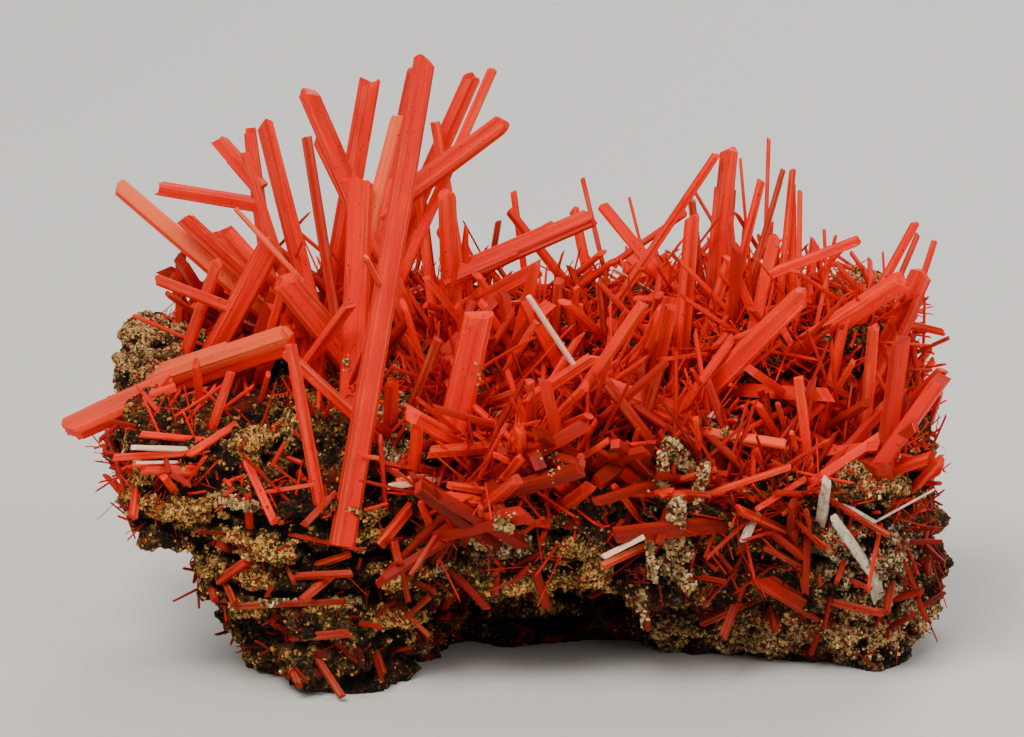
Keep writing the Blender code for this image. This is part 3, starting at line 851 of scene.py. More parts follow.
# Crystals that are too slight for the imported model, one by one: foot across and up, tip across and
# up, width, and lean, which is how much farther away the tip is than the foot, in mm
wholeSurface = surfaceOf(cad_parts)
handPlaced = {
    "skyline": (
        (-16, 60, -33, 94.7, 1.4, 4), (-29, 62, -34.3, 95, 2.6, 5), (-33, 57, -44.7, 92.2, 1.7, 2),
        (1, 80, 0.2, 85.8, 1.2, 3), (-4, 70, -2.2, 81, 1.2, 4), (-12.8, 62, -15.5, 85.3, 1.8, 5),
        (15.5, 72, 11.7, 88, 0.9, 4), (42, 70, 42.8, 94.7, 0.9, 3), (39.7, 72, 38, 91.2, 0.9, 2),
        (44.5, 66, 46.8, 89.5, 1.4, 2), (47.7, 63.8, 48, 86, 1, 3), (63.2, 68, 67.8, 78.8, 1.2, 0),
        (66.7, 66, 70.5, 77.7, 1.5, -1), (53, 60, 52, 79.5, 0.9, 1), (50, 60, 54, 78.5, 0.9, -2),
        (22.5, 72.5, 19.5, 84.8, 0.6, 2), (3.8, 77, -0.7, 82.7, 1.8, 1),
        (38, 64.5, 45.3, 89.5, 1.3, 1), (11.3, 78, 10.2, 83.2, 1.8, 2),
        (59.8, 70.7, 56.4, 75.6, 0.9, -1), (62, 72.5, 61.8, 75.7, 0.6, 0),
        (23.5, 78.2, 29.3, 82.2, 1.3, 2), (33, 81.3, 30.4, 85.7, 0.9, 2),
        (36.7, 82, 37, 86, 0.9, 3), (30.3, 81, 29.9, 84.5, 1.5, 2), (4.9, 79.5, 6.9, 80.6, 0.8, 1),
    ),
    "leftFront": (
        (-47.8, 61.7, -57.7, 68.7, 1.3, -4), (-51.2, 59.8, -63.2, 65, 0.9, -5),
        (-49.9, 46.4, -46.7, 55.9, 1.6, -4), (-44.3, 40.8, -39.5, 30.2, 1.8, -4),
        (-54.5, 42, -66.7, 41.2, 1.5, -5), (-54, 39.6, -63.5, 40, 1, -5),
        (-54.3, 38.8, -62, 39.2, 1.6, -5), (-56.4, 35.8, -58.2, 38.2, 1.6, -4),
        (-62.6, 35.5, -63.2, 31, 1.9, -3), (-52.6, 44.2, -62.2, 45.2, 1.3, -4),
        (-41.8, 35.4, -32.8, 36.8, 0.8, -3), (-30.3, 34.3, -35, 29.8, 1.6, -4),
        (-33.5, 48.5, -36.5, 55, 1.5, -4), (-25.8, 41.5, -22.3, 41.2, 1, -4),
        (-45, 16.5, -27.7, 17.3, 1.4, -3), (-36, 11.2, -27.3, 12, 1.6, -6),
        (-35.3, 21.5, -26.3, 22, 1.3, -3), (-32.3, 7.5, -28.2, 1.2, 1.3, -3),
        (-37.3, 22.4, -36.3, 20.3, 1, -3), (-46.8, 25.8, -49, 27, 1.5, -3),
        (-48, 21.3, -43.8, 24.3, 1.8, -3), (-47.6, 20, -46.1, 16.7, 1.6, -2),
        (-50, 19.5, -49.5, 17.3, 1.4, -2), (-32, 23.5, -27, 25.2, 1.7, -3),
        (-36.2, 5.2, -35.4, 2.9, 1.5, -2), (-22.4, 8.2, -21.2, 4.8, 1.3, -2),
        (-30.3, 21.5, -35.2, 17.3, 1.7, -3), (-47, 46, -54, 41.7, 1.6, -5),
    ),
    "centreFront": (
        (-17.3, 48.3, -12.3, 61.3, 2, -6), (-8.5, 34.7, -17, 21.5, 0.9, -5),
        (-13.2, 28.2, -15.5, 33.9, 0.9, -5), (-12.8, 29, -15.3, 34, 0.9, -5),
        (-17.4, 14.7, -13.6, 18.2, 1, -4), (-17, 14.7, -13.6, 11.3, 1, -3),
        (-18, 21, -17.2, 17, 1.2, -3), (-16.2, 20.5, -12.8, 18.8, 1.5, -3),
        (-19.8, 27.5, -18.8, 23.5, 1.8, -3), (-20.3, 46.3, -20, 54.2, 2.6, -4),
        (-16.5, 38, -15.8, 46.5, 2.3, -5), (-15, 57.3, -19.5, 62.3, 2.4, -4),
        (-15.6, 66, -20, 66.4, 1.1, -4), (-13.4, 69.6, -19.2, 67.4, 2.4, -3),
        (-7.3, 42.8, -17.4, 48.7, 3.4, -6), (0.7, 43.2, -14.5, 42.1, 3, -6),
        (-5.5, 33.8, -13.5, 34.8, 2.8, -5), (-3, 35.5, -10.8, 36.7, 1.3, -6),
        (-7, 30.5, 1.3, 38, 2.4, -7), (-2.5, 36, 1.8, 41.5, 2.2, -7),
        (2.8, 38.8, -3, 41.8, 1.2, -7), (-5.3, 28.7, -5.3, 33.2, 1.2, -5),
        (1.8, 28.7, 5.4, 31.3, 1, -4), (2, 39.5, 1.2, 46.5, 2.4, -6),
        (3.5, 44.3, 2.9, 54.2, 1.7, -7), (-8, 49, 2.5, 53, 1.3, -8),
        (-2.9, 52.6, 4.3, 64.2, 1.5, -8), (5.8, 57.5, -4.9, 60.2, 1.5, -5),
        (8.6, 55.8, 2.1, 68, 0.6, -7), (10.8, 58, 9.4, 67.7, 1.7, -5),
        (11.9, 59.5, 11.5, 67, 0.9, -5), (6.9, 58, 7.9, 71, 2, -6), (-1, 71, -2.7, 73.5, 0.8, -3),
        (10.8, 59.5, 10.7, 69.8, 1.4, -4), (16, 58, 14.7, 71.5, 1.9, -4),
        (9.5, 34.8, 6.3, 38.3, 2.2, -5), (8.5, 33, 13.2, 36.8, 2.6, -6),
        (10.7, 37.5, 11.5, 41.5, 1.5, -5), (7.9, 38.9, 16.1, 44.1, 1.3, -6),
        (21.7, 30.5, 16.8, 36.8, 1.5, -5), (16.7, 25.9, 10.3, 27.7, 0.7, -4),
        (24.3, 42.3, 15.4, 54.2, 2.7, -7), (4.8, 45.3, 12.7, 53.5, 2, -7),
    ),
    "rightFront": (
        (23.5, 54.5, 26.7, 68, 3, -5), (33.5, 59.6, 40.2, 62.2, 1.3, -6),
        (39.2, 66.2, 35.5, 64.5, 1, -4), (50, 55.5, 44.2, 60.5, 1.3, -6),
        (57, 50.7, 51.3, 54.2, 1.7, -6), (51, 47, 57, 57.5, 1.3, -7),
        (50.4, 54.7, 52.2, 60.5, 1.5, -6), (38.8, 52, 36.3, 53.5, 0.9, -5),
        (46, 28.8, 37.3, 32.8, 2.1, -6), (67.2, 43.3, 60.5, 55.7, 1, -7),
        (66.9, 63.3, 72.4, 62, 1.5, -3), (65.5, 57.9, 73, 61.3, 0.8, -3),
        (64.5, 56, 70.1, 55.8, 0.8, -3), (43.7, 45.8, 41.3, 52.7, 1.3, -5),
        (47, 41, 44.2, 50.5, 1.2, -5), (42, 43, 38.5, 50, 1.3, -5), (31.3, 39.6, 30.6, 48, 1.3, -6),
        (28.8, 34, 46.5, 39.7, 1.2, -8), (36.5, 36.2, 45, 39.5, 1.5, -7),
        (24.7, 36.5, 34.2, 39.4, 1.3, -7), (36, 34.8, 24.7, 35.2, 2, -8),
        (26.5, 35.5, 33, 35, 1.3, -6), (18.3, 34.8, 27, 35.7, 1.2, -6),
        (25.5, 36.8, 32.5, 38.6, 1.2, -6), (48, 37.2, 40.3, 32.4, 1.5, -7),
        (48.3, 34, 44.9, 31.7, 0.8, -5), (49.6, 29.3, 49, 32.5, 1.1, -5),
        (48, 23.3, 41.8, 26.4, 1.2, -5), (47.7, 24, 46.8, 29.3, 1.2, -4),
        (51.8, 41.3, 54.5, 35.8, 3, -5), (33, 16.3, 20.5, 22.3, 1.1, -6),
        (40.2, 17.3, 31.2, 13.2, 1.3, -5), (38.3, 19.8, 35, 10.8, 1.6, -4),
        (55.3, 23.8, 54, 20.2, 1.1, -4), (63, 19.3, 62.3, 15, 1.6, -3),
        (54.3, 17, 62, 15.2, 1.6, -4), (65.5, 23.6, 67.5, 19.2, 0.8, -2),
        (56.8, 31.8, 63, 28.2, 1.5, -3), (56.6, 20.8, 60, 19.2, 1, -3),
        (43.5, 15, 44, 12.5, 1.8, -3), (66.3, 43.5, 69.5, 47.2, 0.3, -3),
        (65.5, 43.8, 63.4, 46, 0.6, -4), (66, 40.5, 72.2, 39.3, 3, -3),
        (63, 39, 70.5, 41.5, 2.4, -5), (67.5, 36.8, 71.6, 41.2, 2, -4),
    ),
    # painted sheen: these crystals are painted paler on their upper sides
    "pale": (
        (-38.8, 74.8, -46.2, 82.9, 1.3, -2), (20.8, 70.3, 17.4, 74.2, 0.8, -4),
        (53.6, 65.6, 49.3, 68, 0.8, -5), (21.2, 26, 15, 23.2, 1.4, -6),
        (-14, 38.2, -19, 37.2, 1.3, -6), (48, 39.7, 46.6, 45.5, 0.9, -6),
        (-22.2, 70.3, -24.5, 74.7, 1.2, -6),
    ),
    # painted glints: these crystals are painted whitish all over
    "gleaming": (
        (10.2, 56.8, 2.7, 68.2, 1, -6), (24.2, 68.3, 16.5, 72.8, 0.9, -4),
        (-54, 42.6, -63.5, 43, 1.1, -6), (-55.5, 40.5, -62.8, 40.4, 0.8, -6),
        (-13, 37.6, -20.5, 36.4, 1.4, -10), (20.6, 27.4, 15, 24.6, 1.2, -8),
    ),
    "coated": (
        (30.5, 38.3, 26, 44, 3.2, -5), (25.2, 33.5, 25, 42.3, 2, -6),
        (27.2, 26, 27.5, 34.5, 2.7, -6), (21.5, 17.8, 22.4, 12.3, 1.4, -3),
        (26, 23.5, 30.3, 19.2, 2.3, -4), (27.2, 23.5, 30, 25.3, 1.1, -4),
        (-48, 34.3, -42.3, 32.8, 1.8, -3), (-27, 17.4, -42, 17, 1.1, -5),
        (30.6, 33, 32.2, 40.2, 1.8, -5), (23, 27.6, 23.6, 20.4, 1.3, -4),
    ),
    "white": (
        (51.5, 30.5, 52.5, 37.5, 2.9, -8), (60.4, 21.5, 53.6, 31.2, 2.3, -7),
        (56.3, 33, 60.5, 30.5, 1, -5), (60.5, 30.5, 70.5, 36, 0.5, -5),
        (38.4, 46.9, 33.4, 48.6, 2.4, -8), (40.5, 31.5, 38.5, 27, 1.6, -4),
    ),
}
placing = {
    "usual": {
        "tones": (0.35, 1.0),
        "flat": (0.7, 0.95),  # thickness over width
        "ground": lumpSurface,
        "inView": (0.4, 0.6, 0.8, 1.0),  # shares of the length that nothing may hide
        "clearance": 0.3,  # mm
        "nearest": 9,  # mm that the tip may come nearer than the foot
        "material": crocoite,
        "slot": "crocoite",
    },
    "skyline": {"inView": ()},
    # tones above 1 paint a pale sheen on the upper sides, and from 1.7 a whitish glint all over
    "pale": {"tones": (1.3, 1.6), "ground": wholeSurface, "clearance": 1.6, "nearest": 16},
    "gleaming": {"tones": (1.9, 2.0), "ground": wholeSurface, "clearance": 1.6, "nearest": 16},
    "coated": {"tones": (0.62, 0.9), "inView": (), "material": grain, "slot": "gossan"},
    "white": {
        "flat": (0.5, 0.7), "ground": wholeSurface, "clearance": 1.6, "nearest": 16,
        "material": cerussite, "slot": "cerussite",
    },
    "clean": 46,  # mm above the floor, where the painted shade ends
    "frontMost": 1.5,  # mm inside the specimen's box
    "search": 25,  # mm, how far back a foot may look for ground
    "sunk": 1.5,  # mm of the foot in the ground
}


def makeHandPlaced(name, rows, rng):
    way = {**placing["usual"], **placing.get(name, {})}
    bm = newCrystalMesh()
    for footAcross, footUp, tipAcross, tipUp, width, lean in rows:
        ground, _ = groundSeenAt(way["ground"], footAcross, footUp)
        back = (Vector((footAcross, footUp)) - Vector((tipAcross, tipUp))).normalized()
        slide = 0
        while ground is None and slide < placing["search"]:
            slide += 1
            ground, _ = groundSeenAt(
                way["ground"], footAcross + back.x * slide, footUp + back.y * slide
            )
        if ground is None:
            print("no ground under", name, footAcross, footUp)
            continue
        far = ground.y + lean * mm
        for share in way["inView"]:
            across = footAcross + (tipAcross - footAcross) * share
            seen, _ = groundSeenAt(wholeSurface, across, footUp + (tipUp - footUp) * share)
            if seen:
                front = seen.y - (way["clearance"] + width / 2) * mm
                far = min(far, ground.y + (front - ground.y) / share)
        near = max(ground.y - way["nearest"] * mm, cadBox[0][1] + placing["frontMost"] * mm)
        tip = seenPlace(tipAcross, tipUp, max(far, near))
        foot = ground - (tip - ground).normalized() * placing["sunk"] * mm
        addLoosePrism(bm, foot, tip, width * mm, rng.uniform(*way["tones"]), rng, way["flat"])
    return newPiece(name + "Prisms", bm, way["material"], way["slot"])


def addLoosePrism(bm, foot, tip, width, tone, rng, flat):
    axis = (tip - foot).normalized()
    across = Matrix.Rotation(rng.uniform(0, math.tau), 3, axis) @ axis.orthogonal().normalized()
    thick = rng.uniform(*flat)
    corners = []
    for number in range(8):
        angle = math.tau * (number + 0.5) / 8 + (0.16 if number % 2 else -0.16)
        corners.append(Vector((math.cos(angle), math.sin(angle) * thick)) * width / 2)
    length = (tip - foot).length
    crystal = {
        "foot": foot,
        "axis": axis,
        "across": across,
        "up": axis.cross(across),
        "length": length,
        "corners": corners,
        "centre": Vector((0, 0)),
        "drift": Vector((0, 0)),
        "taper": rng.uniform(0, 0.12) / length,
        "sectionAt": 0,
        "width": width,
    }
    addPrism(bm, crystal, slantedTip(length, width, rng), rng, tone, 0, placing["clean"])


for name, rows in handPlaced.items():
    makeHandPlaced(name, rows, rng)


# Small crystals, needles and grains grow all over the lump by Geometry Nodes
def newTree(name, sockets):  # its nodes, its inputs, and each input's identifier by its name
    tree = bpy.data.node_groups.new(name, "GeometryNodeTree")
    for way in ("INPUT", "OUTPUT"):
        tree.interface.new_socket(name="Geometry", in_out=way, socket_type="NodeSocketGeometry")
    names = {}
    for label, (kind, value) in sockets.items():
        kind = "NodeSocket" + kind
        socket = tree.interface.new_socket(name=label, in_out="INPUT", socket_type=kind)
        if value is not None:
            socket.default_value = value
        names[label] = socket.identifier
    nodes = Nodes(tree)
    return nodes, nodes.add("NodeGroupInput").outputs, names


def finishTree(nodes, points, shape, turn, scale, material, dress=None):
    values = {"Points": points, "Instance": shape, "Rotation": turn, "Scale": scale}
    grown = nodes.get("GeometryNodeInstanceOnPoints", values)
    solid = nodes.get("GeometryNodeRealizeInstances", {"Geometry": grown})
    if dress:
        solid = dress(solid)
    values = {"Geometry": solid, "Material": material}
    nodes.add("NodeGroupOutput", {"Geometry": nodes.get("GeometryNodeSetMaterial", values)})


# Where the tips of the scattered crystals end on the picture: across and up in mm
skyline = {
    "across": 80,  # the drawn line runs from minus this to this
    "up": 120,
    "line": (
        (-80, 40), (-66, 55), (-60, 64), (-50, 72), (-42, 80), (-32, 84), (-10, 84), (0, 76),
        (12, 77), (22, 76), (30, 80), (42, 84), (52, 78), (62, 74), (70, 68), (74, 52), (80, 40),
    ),
    "nearer": 0.82,  # how much larger things look for each metre that they are nearer
}


def aboveSkyline(nodes, end):  # 1 where a tip would stand above the line
    nearness = nodes.math("SUBTRACT", 1.0, nodes.times(end["Y"], skyline["nearer"]))
    raised = nodes.math("SUBTRACT", end["Z"], view["target"].z)
    deep = nodes.times(end["Y"], math.sin(view["tilt"]))
    up = nodes.math("ADD", deep, nodes.times(raised, math.cos(view["tilt"])))
    up = nodes.math("ADD", nodes.times(up, nearness), view["targetUp"] * mm)
    wide, high = skyline["across"], skyline["up"]
    across = nodes.ramp(nodes.times(end["X"], nearness), -wide * mm, wide * mm)
    curve = nodes.add("ShaderNodeFloatCurve", {"Value": across})
    drawn = curve.mapping.curves[0].points
    for number, (place, level) in enumerate(skyline["line"]):
        spot = ((place + wide) / (2 * wide), level / high)
        if number < 2:
            drawn[number].location = spot
        else:
            drawn.new(*spot)
    curve.mapping.update()
    return nodes.math("GREATER_THAN", up, nodes.times(curve.outputs[0], high * mm))


def prismShape(nodes, sides, place):  # one unit long and wide, narrower and slanted at the tip
    values = {"Vertices": sides, "Radius": 0.5, "Depth": 1.0}
    cylinder = nodes.get("GeometryNodeMeshCylinder", values)
    values = {"Geometry": cylinder, "Translation": (0, 0, 0.42)}
    shape = nodes.get("GeometryNodeTransform", values)
    unit = nodes.split(place)
    top = nodes.math("GREATER_THAN", unit["Z"], 0.5)
    narrow = nodes.math("SUBTRACT", 1.0, nodes.times(top, 0.16))
    slant = nodes.times(nodes.times(unit["X"], 0.11), top)
    cut = nodes.join(
        X=nodes.times(unit["X"], narrow),
        Y=nodes.times(unit["Y"], narrow),
        Z=nodes.math("ADD", unit["Z"], slant),
    )
    shape = nodes.get("GeometryNodeSetPosition", {"Geometry": shape, "Position": cut})
    shape = nodes.store(shape, "unit", place, "FLOAT_VECTOR")
    return nodes.store(shape, "along", unit["Z"])


def prismTree():  # prisms on points spread over the lump, each aimed outward with a random tilt
    nodes, value, names = newTree("growPrisms", {
        "Density": ("Float", 20000.0), "Seed": ("Int", 1), "Sides": ("Int", 6),
        "Least Width": ("Float", 1 * mm), "Most Width": ("Float", 2 * mm),
        "Least Length": ("Float", 8 * mm), "Most Length": ("Float", 20 * mm),
        "Stand": ("Float", 0.6), "Tilt": ("Float", 0.8), "Lift": ("Float", 0.5),
        "Bed": ("String", "topBed"), "Lowest": ("Vector", (0, 0, 0)),
        "Highest": ("Vector", (0, 0, 0)), "Material": ("Material", None),
    })
    seeds = [nodes.math("ADD", value["Seed"], number * 101) for number in range(8)]

    def chance(low, high, seed, kind="FLOAT"):
        return nodes.chance(low, high, seeds[seed], kind)

    def between(least, most, share):
        span = nodes.math("SUBTRACT", value[most], value[least])
        return nodes.math("ADD", value[least], nodes.times(span, share))

    bed = nodes.recall(value["Bed"])
    density = nodes.times(value["Density"], bed)
    values = {"Mesh": value["Geometry"], "Density": density, "Seed": value["Seed"]}
    spread = nodes.add("GeometryNodeDistributePointsOnFaces", values).outputs
    # each leans any way along the ground, by "Tilt", and stands out of it, by "Stand"
    outward = spread["Normal"]
    anyWay = nodes.vector("NORMALIZE", chance((-1, -1, -1), (1, 1, 1), 1, "FLOAT_VECTOR"))
    along = nodes.vector("NORMALIZE", nodes.vector("CROSS_PRODUCT", anyWay, outward))
    sway = nodes.vector("SCALE", along, scale=nodes.times(value["Tilt"], chance(0.25, 1.0, 7)))
    lift = nodes.join(Z=value["Lift"])
    rise = nodes.vector("ADD", nodes.vector("SCALE", outward, scale=value["Stand"]), lift)
    aim = nodes.vector("NORMALIZE", nodes.vector("ADD", rise, sway))
    # short crystals are far more common than long ones
    luck = nodes.math("POWER", chance(0.0, 1.0, 2), 1.9)
    vigour = nodes.ramp(bed, 0.2, 1.0, 0.5, 1.0)
    length = nodes.times(between("Least Length", "Most Length", luck), vigour)
    stout = nodes.times(chance(0.0, 1.0, 3), nodes.ramp(luck, 0, 1, 0.4, 1.0))
    width = between("Least Width", "Most Width", stout)
    place = nodes.get("GeometryNodeInputPosition")
    # painted shade: scattered crystals are painted darker towards the floor
    floorShade = nodes.ramp(nodes.split(place)["Z"], 10 * mm, 50 * mm, 0.16, 1.0)
    size = nodes.join(X=width, Y=nodes.times(width, chance(0.65, 0.95, 4)), Z=length)
    points = nodes.store(spread["Points"], "aim", aim, "FLOAT_VECTOR")
    points = nodes.store(points, "size", size, "FLOAT_VECTOR")
    points = nodes.store(points, "tone", nodes.times(chance(0.3, 1.0, 5), floorShade))

    # a crystal whose tip would leave the specimen's box, or stand above the skyline, isn't grown
    aim, size = nodes.recall("aim", "FLOAT_VECTOR"), nodes.recall("size", "FLOAT_VECTOR")
    reach = nodes.vector("SCALE", aim, scale=nodes.split(size)["Z"])
    end = nodes.split(nodes.vector("ADD", place, reach))
    outside = aboveSkyline(nodes, end)
    for bound, order in (("Lowest", "LESS_THAN"), ("Highest", "GREATER_THAN")):
        limit = nodes.split(value[bound])
        for axis in "XYZ":
            test = nodes.math(order, end[axis], limit[axis])
            outside = nodes.math("MAXIMUM", outside, test)
    values = {"Geometry": points, "Selection": outside}
    points = nodes.get("GeometryNodeDeleteGeometry", values, domain="POINT")

    shape = prismShape(nodes, value["Sides"], place)
    aimed = nodes.get("FunctionNodeAlignRotationToVector", {"Vector": aim}, axis="Z")
    values = {"Axis": (0, 0, 1), "Angle": chance(0.0, math.tau, 6)}
    spin = nodes.get("FunctionNodeAxisAngleToRotation", values)
    values = {0: aimed, 1: spin}
    turned = nodes.get("FunctionNodeRotateRotation", values, rotation_space="LOCAL")

    def dress(solid):
        tone = nodes.recall("tone")
        own = nodes.vector("MULTIPLY", nodes.recall("unit", "FLOAT_VECTOR"), size)
        own = nodes.vector("ADD", own, nodes.join(X=tone, Y=tone))
        solid = nodes.store(solid, "local", own, "FLOAT_VECTOR")
        for extra in "size aim unit topBed frontBed lowBed rise crumb cream".split():
            solid = nodes.get("GeometryNodeRemoveAttribute", {"Geometry": solid, "Name": extra})
        return solid

    finishTree(nodes, points, shape, turned, size, value["Material"], dress)
    return nodes.tree, names


def grainTree():  # small rough grains on points spread over the lump
    nodes, value, names = newTree("strewGrains", {
        "Density": ("Float", 20000.0), "Seed": ("Int", 1),
        "Least Size": ("Float", 0.3 * mm), "Most Size": ("Float", 0.9 * mm),
        "Least Share": ("Float", 0.01), "Material": ("Material", None),
    })
    seeds = [nodes.math("ADD", value["Seed"], number * 77) for number in range(5)]
    place = nodes.get("GeometryNodeInputPosition")
    facing = nodes.split(nodes.get("GeometryNodeInputNormal"))["Z"]
    notUnder = nodes.math("GREATER_THAN", facing, -0.85)
    aboveFloor = nodes.math("GREATER_THAN", nodes.split(place)["Z"], 1.2 * mm)
    rise, crumb = nodes.recall("rise"), nodes.recall("crumb")
    clumps = nodes.times(nodes.ramp(crumb, 0.1, 0.9, 0.16, 1.0), nodes.ramp(rise, 0.25, 0.55))
    patchy = nodes.noise(place, 480, 3, 0.65)
    clumps = nodes.times(clumps, nodes.ramp(patchy, 0.45, 0.53, value["Least Share"], 1.0))
    density = nodes.times(value["Density"], nodes.times(notUnder, aboveFloor))
    density = nodes.times(density, clumps)
    values = {"Mesh": value["Geometry"], "Density": density, "Seed": value["Seed"]}
    points = nodes.get("GeometryNodeDistributePointsOnFaces", values)
    shade = nodes.ramp(crumb, 0.0, 0.5, 0.6, 1.0)
    points = nodes.store(points, "tone", nodes.times(nodes.chance(0.0, 1.0, seeds[1]), shade))

    block = nodes.get("GeometryNodeMeshCube", {"Size": (1.5, 1.5, 1.5)})
    uneven = nodes.add("ShaderNodeTexNoise", {"Vector": place, "Scale": 1.3}).outputs["Color"]
    bulge = nodes.vector("SUBTRACT", uneven, (0.5, 0.5, 0.5))
    bulge = nodes.vector("SCALE", bulge, scale=2.2)
    block = nodes.get("GeometryNodeSetPosition", {"Geometry": block, "Offset": bulge})
    wide = nodes.chance(value["Least Size"], value["Most Size"], seeds[2])
    stretch = nodes.chance((0.6, 0.6, 0.5), (1.5, 1.3, 1.1), seeds[3], "FLOAT_VECTOR")
    turn = nodes.chance((0, 0, 0), (6.28, 6.28, 6.28), seeds[4], "FLOAT_VECTOR")
    scale = nodes.vector("SCALE", stretch, scale=wide)
    finishTree(nodes, points, block, turn, scale, value["Material"])
    return nodes.tree, names


def scatter(name, source, tree, names, inputs, slot):
    carrier = addToScene(name + "Bed", source)
    modifier = carrier.modifiers.new(name, "NODES")
    modifier.node_group = tree
    for label, value in inputs.items():
        modifier[names[label]] = value
    data = bakedMesh(carrier, name)
    carrier.modifiers.remove(modifier)
    bpy.data.objects.remove(carrier, do_unlink=True)
    print(name, "has", len(data.polygons), "faces")
    return placePiece(name, data, inputs["Material"], slot)


# Where few of the scattered crystals grow on the front: across, up, half width, half height, share
thinPlaces = (
    (16, 30, 6, 12, 0.10), (-42, 43, 11, 9, 0.30), (63, 38, 9, 4, 0.10), (59, 26, 7, 7, 0.30),
    (25.5, 31, 4, 11, 0.35), (-29, 38, 6, 9, 0.15), (-19, 45, 4, 6, 0.30), (-4, 29, 6, 5, 0.40),
    (7.5, 40, 3, 3, 0.40), (-60, 58, 8, 7, 0.25), (42, 46, 8, 4, 0.55),
    (-49, 56, 12, 7, 0.12), (-66, 49, 10, 6, 0.10),
)


def bedWeights(data):
    # "topBed" is where crystals stand up, "frontBed" where they lie across the front, and
    # "lowBed" where broken ones stick in the gossan
    topBed, frontBed, lowBed = np.zeros((3, len(data.vertices)), np.float32)
    crumbs = data.attributes["crumb"].data
    for number, vertex in enumerate(data.vertices):
        x, y, z = vertex.co / mm
        if vertex.normal.z < -0.6 or z < 3:
            continue
        leftHand = x <= -14
        share, up = 1.0, 60.0
        if y < 12 and vertex.normal.dot(sightLine) < 0:
            across, up = seenAt(vertex.co)
            for middle, level, wide, high, least in thinPlaces:
                far = math.hypot((across - middle) / wide, (up - level) / high)
                share = min(share, 1 - (1 - least) * eased(far, 1.3, 0.8))
        top = share01(vertex.normal.z, -0.1, 0.5) * share01(z, 18, 34)
        topBed[number] = (0.06 + 0.94 * top) * share * (0.45 if x < -14 and y < 6 else 1)
        if y < 8 and vertex.normal.y < 0.3:
            lowest = 36 if leftHand else 24
            front = share01(up, lowest - 6, lowest + 4)
            frontBed[number] = front * (0.5 if leftHand else 1.0) * share
        clump = eased(noise.noise(vertex.co / mm / 5 + Vector((2, 4, 6))), -0.05, 0.2)
        lowBed[number] = clump * eased(z, 44, 30) * (1 - 0.75 * crumbs[number].value)
    writeValues(data, topBed=topBed, frontBed=frontBed, lowBed=lowBed)


# name: bed, seed, crystals per square metre, sides, widths and lengths in mm, stand, tilt, lift
scattered = {
    "middlePrisms": ("topBed", 5, 26000, 8, (0.9, 2.6), (9, 26), 0.7, 1.2, 0.45),
    "longPrisms": ("topBed", 41, 20000, 6, (0.5, 1.1), (14, 28), 0.6, 1.4, 0.35),
    "smallPrisms": ("topBed", 12, 70000, 6, (0.35, 1.1), (5, 16), 0.6, 1.5, 0.25),
    "frontPrisms": ("frontBed", 31, 34000, 8, (0.7, 2.2), (6, 20), 0.40, 1.3, 0.10),
    "frontSlivers": ("frontBed", 37, 120000, 6, (0.25, 0.8), (4, 15), 0.5, 1.3, 0.08),
    "needles": ("topBed", 23, 120000, 5, (0.15, 0.4), (4, 12), 0.5, 1.5, 0.15),
    "rubblePrisms": ("lowBed", 51, 110000, 6, (0.4, 1.3), (2.0, 5.5), 0.35, 1.6, 0.0),
    "rubbleSlivers": ("lowBed", 53, 90000, 5, (0.2, 0.5), (3.0, 8.0), 0.5, 1.5, 0.0),
}
# name: seed, grains per square metre, sizes in mm
strewn = {
    "gossanGrains": (9, 2.8e6, 0.12, 0.26),
    "gossanCrumbs": (19, 2.3e6, 0.17, 0.40),
    "gossanDust": (61, 2.8e6, 0.09, 0.20),
    "coatGrains": (29, 7e6, 0.18, 0.50),
}
inset = Vector((1, 1, 1)) * mm  # how far the scattered crystals stay inside the specimen's box
boxLow, boxHigh = (Vector(corner) for corner in cadBox)
bedMesh = lumpPiece.data.copy()
bedWeights(bedMesh)
prisms, prismNames = prismTree()
grains, grainNames = grainTree()
for name, (bed, seed, density, sides, widths, lengths, stand, tilt, lift) in scattered.items():
    inputs = {
        "Bed": bed, "Seed": seed, "Density": float(density), "Sides": sides,
        "Least Width": widths[0] * mm, "Most Width": widths[1] * mm,
        "Least Length": lengths[0] * mm, "Most Length": lengths[1] * mm,
        "Stand": stand, "Tilt": tilt, "Lift": lift, "Material": crocoite,
        "Lowest": tuple(boxLow + inset), "Highest": tuple(boxHigh - inset),
    }
    scatter(name, bedMesh, prisms, prismNames, inputs, "crocoite")

# Coated crystals carry grains all over, which are mostly cream
coatMesh = bpy.data.objects["coatedPrisms"].data.copy()
count = len(coatMesh.vertices)
writeValues(coatMesh, rise=[1.0] * count, crumb=[1.0] * count, cream=[0.85] * count)
for name, (seed, density, least, most) in strewn.items():
    coat = name == "coatGrains"
    inputs = {
        "Density": density, "Seed": seed, "Least Size": least * mm, "Most Size": most * mm,
        "Least Share": 0.5 if coat else 0.01, "Material": grain,
    }
    scatter(name, coatMesh if coat else bedMesh, grains, grainNames, inputs, "gossan")


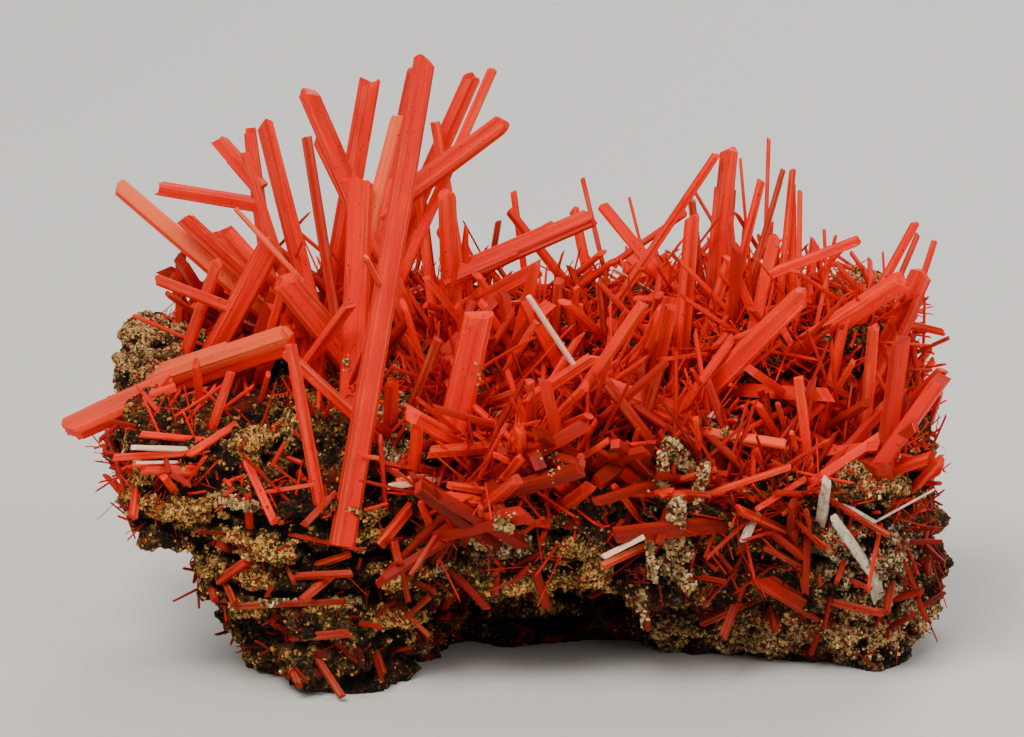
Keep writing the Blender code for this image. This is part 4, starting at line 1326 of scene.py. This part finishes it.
# Cream crust lies in patches: across, up, the spread in mm and how many crumbs
crust = {
    "patches": (
        (-19, 58.5, 2, 90), (-4, 54.5, 2.6, 110), (-2, 49, 1.6, 60), (6.8, 40, 2.4, 150),
        (-1.5, 30.5, 2.4, 120), (-15.5, 73, 1.2, 40), (13, 67.5, 2, 60), (25, 35.5, 3.6, 150),
        (35.5, 46.5, 2.8, 60), (44, 58, 1.5, 40), (52.5, 61, 1.6, 50), (56, 69.5, 3.2, 130),
        (-61, 58, 3.5, 150), (56.5, 27.5, 3.6, 110), (52, 34, 2.4, 60), (-27.5, 57, 1.4, 40),
    ),
    "size": (0.12, 0.42),
    "lumps": 5,  # in each patch
    "lumpSize": (0.22, 0.4),  # share of the spread
    "onLumps": 0.75,  # share of the crumbs
    "cream": 0.75,
}


def addCrumb(bm, middle, size, detail, rng):
    turn = Matrix.Rotation(rng.uniform(0, math.tau), 4, Vector((rng.random(), rng.random(), 1)))
    sizes = (size, size * rng.uniform(0.6, 1), size * rng.uniform(0.5, 0.9), 1)
    shape = Matrix.Translation(middle) @ turn @ Matrix.Diagonal(sizes)
    tones = bm.verts.layers.float["tone"]
    creams = bm.verts.layers.float["cream"]
    tone = rng.uniform(0.25, 1.0)
    ball = bmesh.ops.create_icosphere(bm, subdivisions=detail, radius=1, matrix=shape)
    for vertex in ball["verts"]:
        vertex.co = middle + (vertex.co - middle) * rng.uniform(0.6, 1.3)
        vertex[tones] = tone * rng.uniform(0.7, 1.0)
        vertex[creams] = crust["cream"]


def makeCrust(rng):
    bm = bmesh.new()
    bm.verts.layers.float.new("tone")
    bm.verts.layers.float.new("cream")

    def groundNear(across, up, reach):
        return groundSeenAt(wholeSurface, across + rng.gauss(0, reach), up + rng.gauss(0, reach))

    for across, up, spread, count in crust["patches"]:
        lumps = []
        for _ in range(crust["lumps"]):
            ground, _ = groundNear(across, up, spread / 4)
            size = spread * rng.uniform(*crust["lumpSize"]) * mm
            if ground:
                lumps.append((ground, size))
        for middle, size in lumps:
            addCrumb(bm, middle, size, 2, rng)
        for _ in range(count):
            size = rng.uniform(*crust["size"]) * mm
            if lumps and rng.random() < crust["onLumps"]:
                middle, reach = rng.choice(lumps)
                way = Vector((rng.gauss(0, 1), rng.gauss(-0.6, 1), rng.gauss(0, 1))).normalized()
                addCrumb(bm, middle + way * reach, size, 1, rng)
                continue
            ground, normal = groundNear(across, up, spread / 2)
            if ground:
                addCrumb(bm, ground + normal * size * 0.3, size, 1, rng)
    return newPiece("creamCrust", bm, grain, "gossan")


makeCrust(rng)
print("crust ready")
